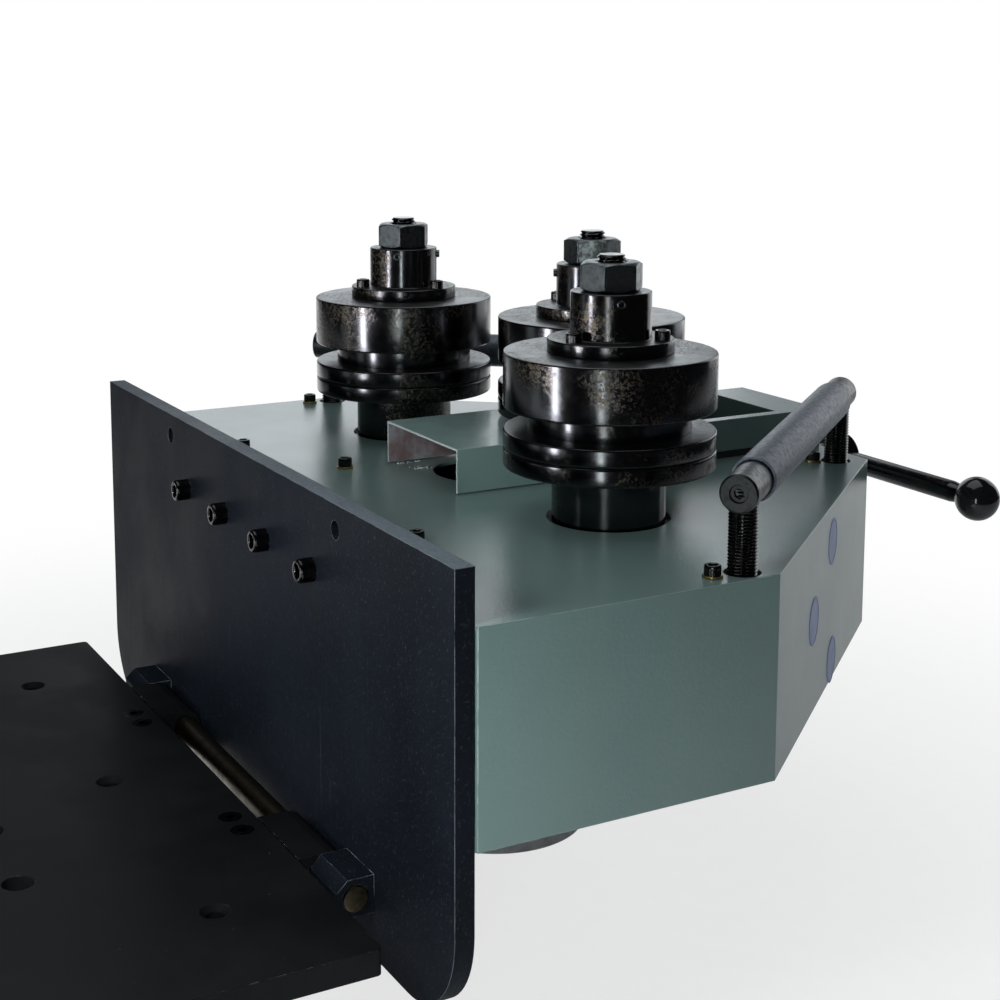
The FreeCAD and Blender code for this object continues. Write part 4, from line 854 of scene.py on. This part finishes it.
def lamp(name, at, target, size, watts, tint):
    """Rectangular soft lamp aimed at a point, unseen by the camera."""
    light = bpy.data.lights.new(name, "AREA")
    light.shape = "RECTANGLE"
    light.size, light.size_y = size
    light.energy = watts
    light.color = tint
    thing = bpy.data.objects.new(name, light)
    bpy.context.scene.collection.objects.link(thing)
    way = Vector(target) - Vector(at)
    thing.matrix_world = Matrix.Translation(at) @ way.to_track_quat("-Z", "Y").to_matrix().to_4x4()
    thing.visible_camera = False
    return thing


def camera():
    """Camera at the photograph's place, solved from the rolls' ellipses and straight edges."""
    data = bpy.data.cameras.new("camera")
    data.sensor_width = 36.0
    data.lens = CAMERA_LENS
    data.shift_x, data.shift_y = CAMERA_SHIFT
    thing = bpy.data.objects.new("camera", data)
    bpy.context.scene.collection.objects.link(thing)
    right = Vector((0.486745, 0.873537, 0.003411))
    up = Vector((-0.126552, 0.066652, 0.989718))
    back = Vector((0.864328, -0.482172, 0.14299))
    turn = Matrix((right, up, back)).transposed().to_4x4()
    thing.matrix_world = Matrix.Translation(CAMERA_PLACE) @ turn
    bpy.context.scene.camera = thing


def world():
    """Studio round the object: grey behind it and dim in front of it to mirrors, a dim fill to
    rough surfaces, and white to the camera."""
    space = bpy.data.worlds.new("studio")
    bpy.context.scene.world = space
    space.use_nodes = True
    tree = space.node_tree
    tree.nodes.clear()

    def add(kind, inputs, out=0, **settings):
        node = tree.nodes.new("ShaderNode" + kind)
        for key, value in settings.items():
            setattr(node, key, value)
        for key, value in inputs.items():
            if isinstance(value, bpy.types.NodeSocket):
                tree.links.new(value, node.inputs[key])
            else:
                node.inputs[key].default_value = value
        return node.outputs[out]

    way = add("TexCoord", {}, "Generated")
    behind = add("VectorMath", {0: way, 1: BEHIND}, "Value", operation="DOT_PRODUCT")
    share = add("MapRange", {"Value": behind, "From Min": BACKDROP[0], "From Max": BACKDROP[1]},
                interpolation_type="SMOOTHSTEP")
    studio = add("Mix", {0: share, 6: STUDIO_FRONT, 7: STUDIO_BACK}, 2, data_type="RGBA")
    rays = tree.nodes.new("ShaderNodeLightPath")
    light = add("Mix", {0: rays.outputs["Is Glossy Ray"], 6: STUDIO_FILL, 7: studio}, 2,
                data_type="RGBA")
    seen = add("Math", {0: rays.outputs["Is Camera Ray"], 1: rays.outputs["Is Transmission Ray"]},
               operation="MAXIMUM")
    view = add("Mix", {0: seen, 6: light, 7: (1, 1, 1, 1)}, 2, data_type="RGBA")
    shade = add("Background", {"Color": view, "Strength": 1.0})
    output = tree.nodes.new("ShaderNodeOutputWorld")
    tree.links.new(shade, output.inputs["Surface"])


def floor():
    """Round pale floor under the lowest point. It keeps the object's shadow and fades to white."""
    level = CAD_BOUNDS[0][2] - FLOOR_GAP
    angle = np.linspace(0, 2 * np.pi, 96, endpoint=False)
    rim = np.column_stack([FLOOR_RADIUS * np.cos(angle) + FLOOR_CENTRE[0],
                           FLOOR_RADIUS * np.sin(angle) + FLOOR_CENTRE[1], angle * 0 + level])
    mesh = bpy.data.meshes.new("floor")
    mesh.from_pydata(rim.tolist(), [], [list(range(96))])
    thing = bpy.data.objects.new("floor", mesh)
    bpy.context.scene.collection.objects.link(thing)
    f = Finish("floor", Roughness=0.9, Specular_IOR_Level=0.1)
    grain = f.between(f.noise(40, 3), 0.3, 0.7, 0.8, 0.84)
    f.set("Base Color", f.add("CombineColor", {0: grain, 1: grain, 2: grain}))
    away = f.add("VectorMath", {0: f.where(), 1: (-0.05, 0.25, level)}, "Value",
                 operation="DISTANCE")
    white = f.between(away, 0.35, 1.1, 0.72, 1.0)
    rays = f.tree.nodes.new("ShaderNodeLightPath")
    bearing = f.add("VectorMath", {0: f.where()}, operation="NORMALIZE")
    back = f.add("VectorMath", {0: bearing, 1: BEHIND}, "Value", operation="DOT_PRODUCT")
    mirrored = f.sum("MULTIPLY", rays.outputs["Is Glossy Ray"], f.between(back, *BACKDROP))
    seen = f.sum("MAXIMUM", rays.outputs["Is Camera Ray"], rays.outputs["Is Transmission Ray"])
    seen = f.sum("MAXIMUM", seen, mirrored)
    glow = f.add("Emission", {"Color": (1, 1, 1, 1), "Strength": 1.0})
    share = f.sum("MULTIPLY", seen, white)
    mixed = f.add("MixShader", {0: share, 1: f.shader.outputs[0], 2: glow})
    f.tree.links.new(mixed, f.tree.nodes["Material Output"].inputs["Surface"])
    mesh.materials.append(f.material)


def lights():
    """Three upright strips for the streaks on the rolls, three soft boxes and two fills."""
    for name, (at, size, watts, tint) in LAMPS.items():
        target = FILL_TARGETS.get(name, (0.1, 0.3, at[2] if "strip" in name else 0.1))
        thing = lamp(name, at, target, size, watts, tint)
        thing.visible_glossy = "fill" not in name


# Operators


class BuildFinishes(bpy.types.Operator):
    """Make the finishes and give them to the solid parts"""

    bl_idname = "ring_roller.finishes"
    bl_label = "Finishes"

    def execute(self, context):
        make_finishes()
        finish_solids()
        return {"FINISHED"}


class BuildRolls(bpy.types.Operator):
    """Turn the rings, hubs and spindles of the three rolls"""

    bl_idname = "ring_roller.rolls"
    bl_label = "Rolls"

    def execute(self, context):
        for side in SIDES:
            rings(side)
            spindle_end(side)
        return {"FINISHED"}


class BuildNuts(bpy.types.Operator):
    """Make the spindle nuts and the screws of the clamp hubs"""

    bl_idname = "ring_roller.nuts"
    bl_label = "Nuts and clamp screws"

    def execute(self, context):
        for side in SIDES:
            nut(side)
            clamp_screws(side)
        set_screws("right", ((-18, 0.333, 0.0003), (102, 0.333, 0.0015)))
        set_screws("left", ((-37, 0.3336, 0.0003), (63, 0.3336, 0.0022)))
        set_screws("centre", ((-122, 0.3297, 0.0022), (-2, 0.3297, 0.0003)))
        return {"FINISHED"}


class BuildCoverScrews(bpy.types.Operator):
    """Make the cap screws of the cover and of the foot plate"""

    bl_idname = "ring_roller.cover_screws"
    bl_label = "Cap screws"

    def execute(self, context):
        cover_screws()
        plate_screws()
        return {"FINISHED"}


class BuildGuides(bpy.types.Operator):
    """Make the two guide rollers and their threaded studs"""

    bl_idname = "ring_roller.guides"
    bl_label = "Guide rollers"

    def execute(self, context):
        for side in ("left", "right"):
            guide_roller(side)
        return {"FINISHED"}


class BuildLever(bpy.types.Operator):
    """Make the feed lever and the hinge rod"""

    bl_idname = "ring_roller.lever"
    bl_label = "Lever and hinge rod"

    def execute(self, context):
        feed_lever()
        hinge_rod()
        return {"FINISHED"}


class BuildLabels(bpy.types.Operator):
    """Make the plain round labels and the sealant beads"""

    bl_idname = "ring_roller.labels"
    bl_label = "Labels and sealant"

    def execute(self, context):
        labels()
        cover_beads()
        return {"FINISHED"}


class BuildStage(bpy.types.Operator):
    """Set the floor, the lamps, the studio and the camera"""

    bl_idname = "ring_roller.stage"
    bl_label = "Stage"

    def execute(self, context):
        context.scene.view_settings.view_transform = "Standard"
        floor()
        lights()
        world()
        camera()
        return {"FINISHED"}


OPERATORS = (BuildFinishes, BuildRolls, BuildNuts, BuildCoverScrews, BuildGuides, BuildLever,
             BuildLabels, BuildStage)


class RollerPanel(bpy.types.Panel):
    """Lists the ring roller's colours, sizes and building steps"""

    bl_idname = "VIEW3D_PT_ring_roller"
    bl_label = "Ring roller"
    bl_space_type = "VIEW_3D"
    bl_region_type = "UI"
    bl_category = "Ring roller"

    def draw(self, context):
        for operator in OPERATORS:
            self.layout.operator(operator.bl_idname)
        for group in (context.scene.roller_paint, context.scene.roller_detail):
            for name in group.__annotations__:
                self.layout.prop(group, name)


CLASSES = (RollerPaint, RollerDetail) + OPERATORS + (RollerPanel,)


def register():
    for cls in CLASSES:
        bpy.utils.register_class(cls)
    bpy.types.Scene.roller_paint = PointerProperty(type=RollerPaint)
    bpy.types.Scene.roller_detail = PointerProperty(type=RollerDetail)


def unregister():
    del bpy.types.Scene.roller_detail
    del bpy.types.Scene.roller_paint
    for cls in reversed(CLASSES):
        bpy.utils.unregister_class(cls)


def main():
    """Registers the add-on and runs its operators in order."""
    register()
    for operator in OPERATORS:
        group, name = operator.bl_idname.split(".")
        getattr(getattr(bpy.ops, group), name)()


if __name__ == "__main__":
    main()
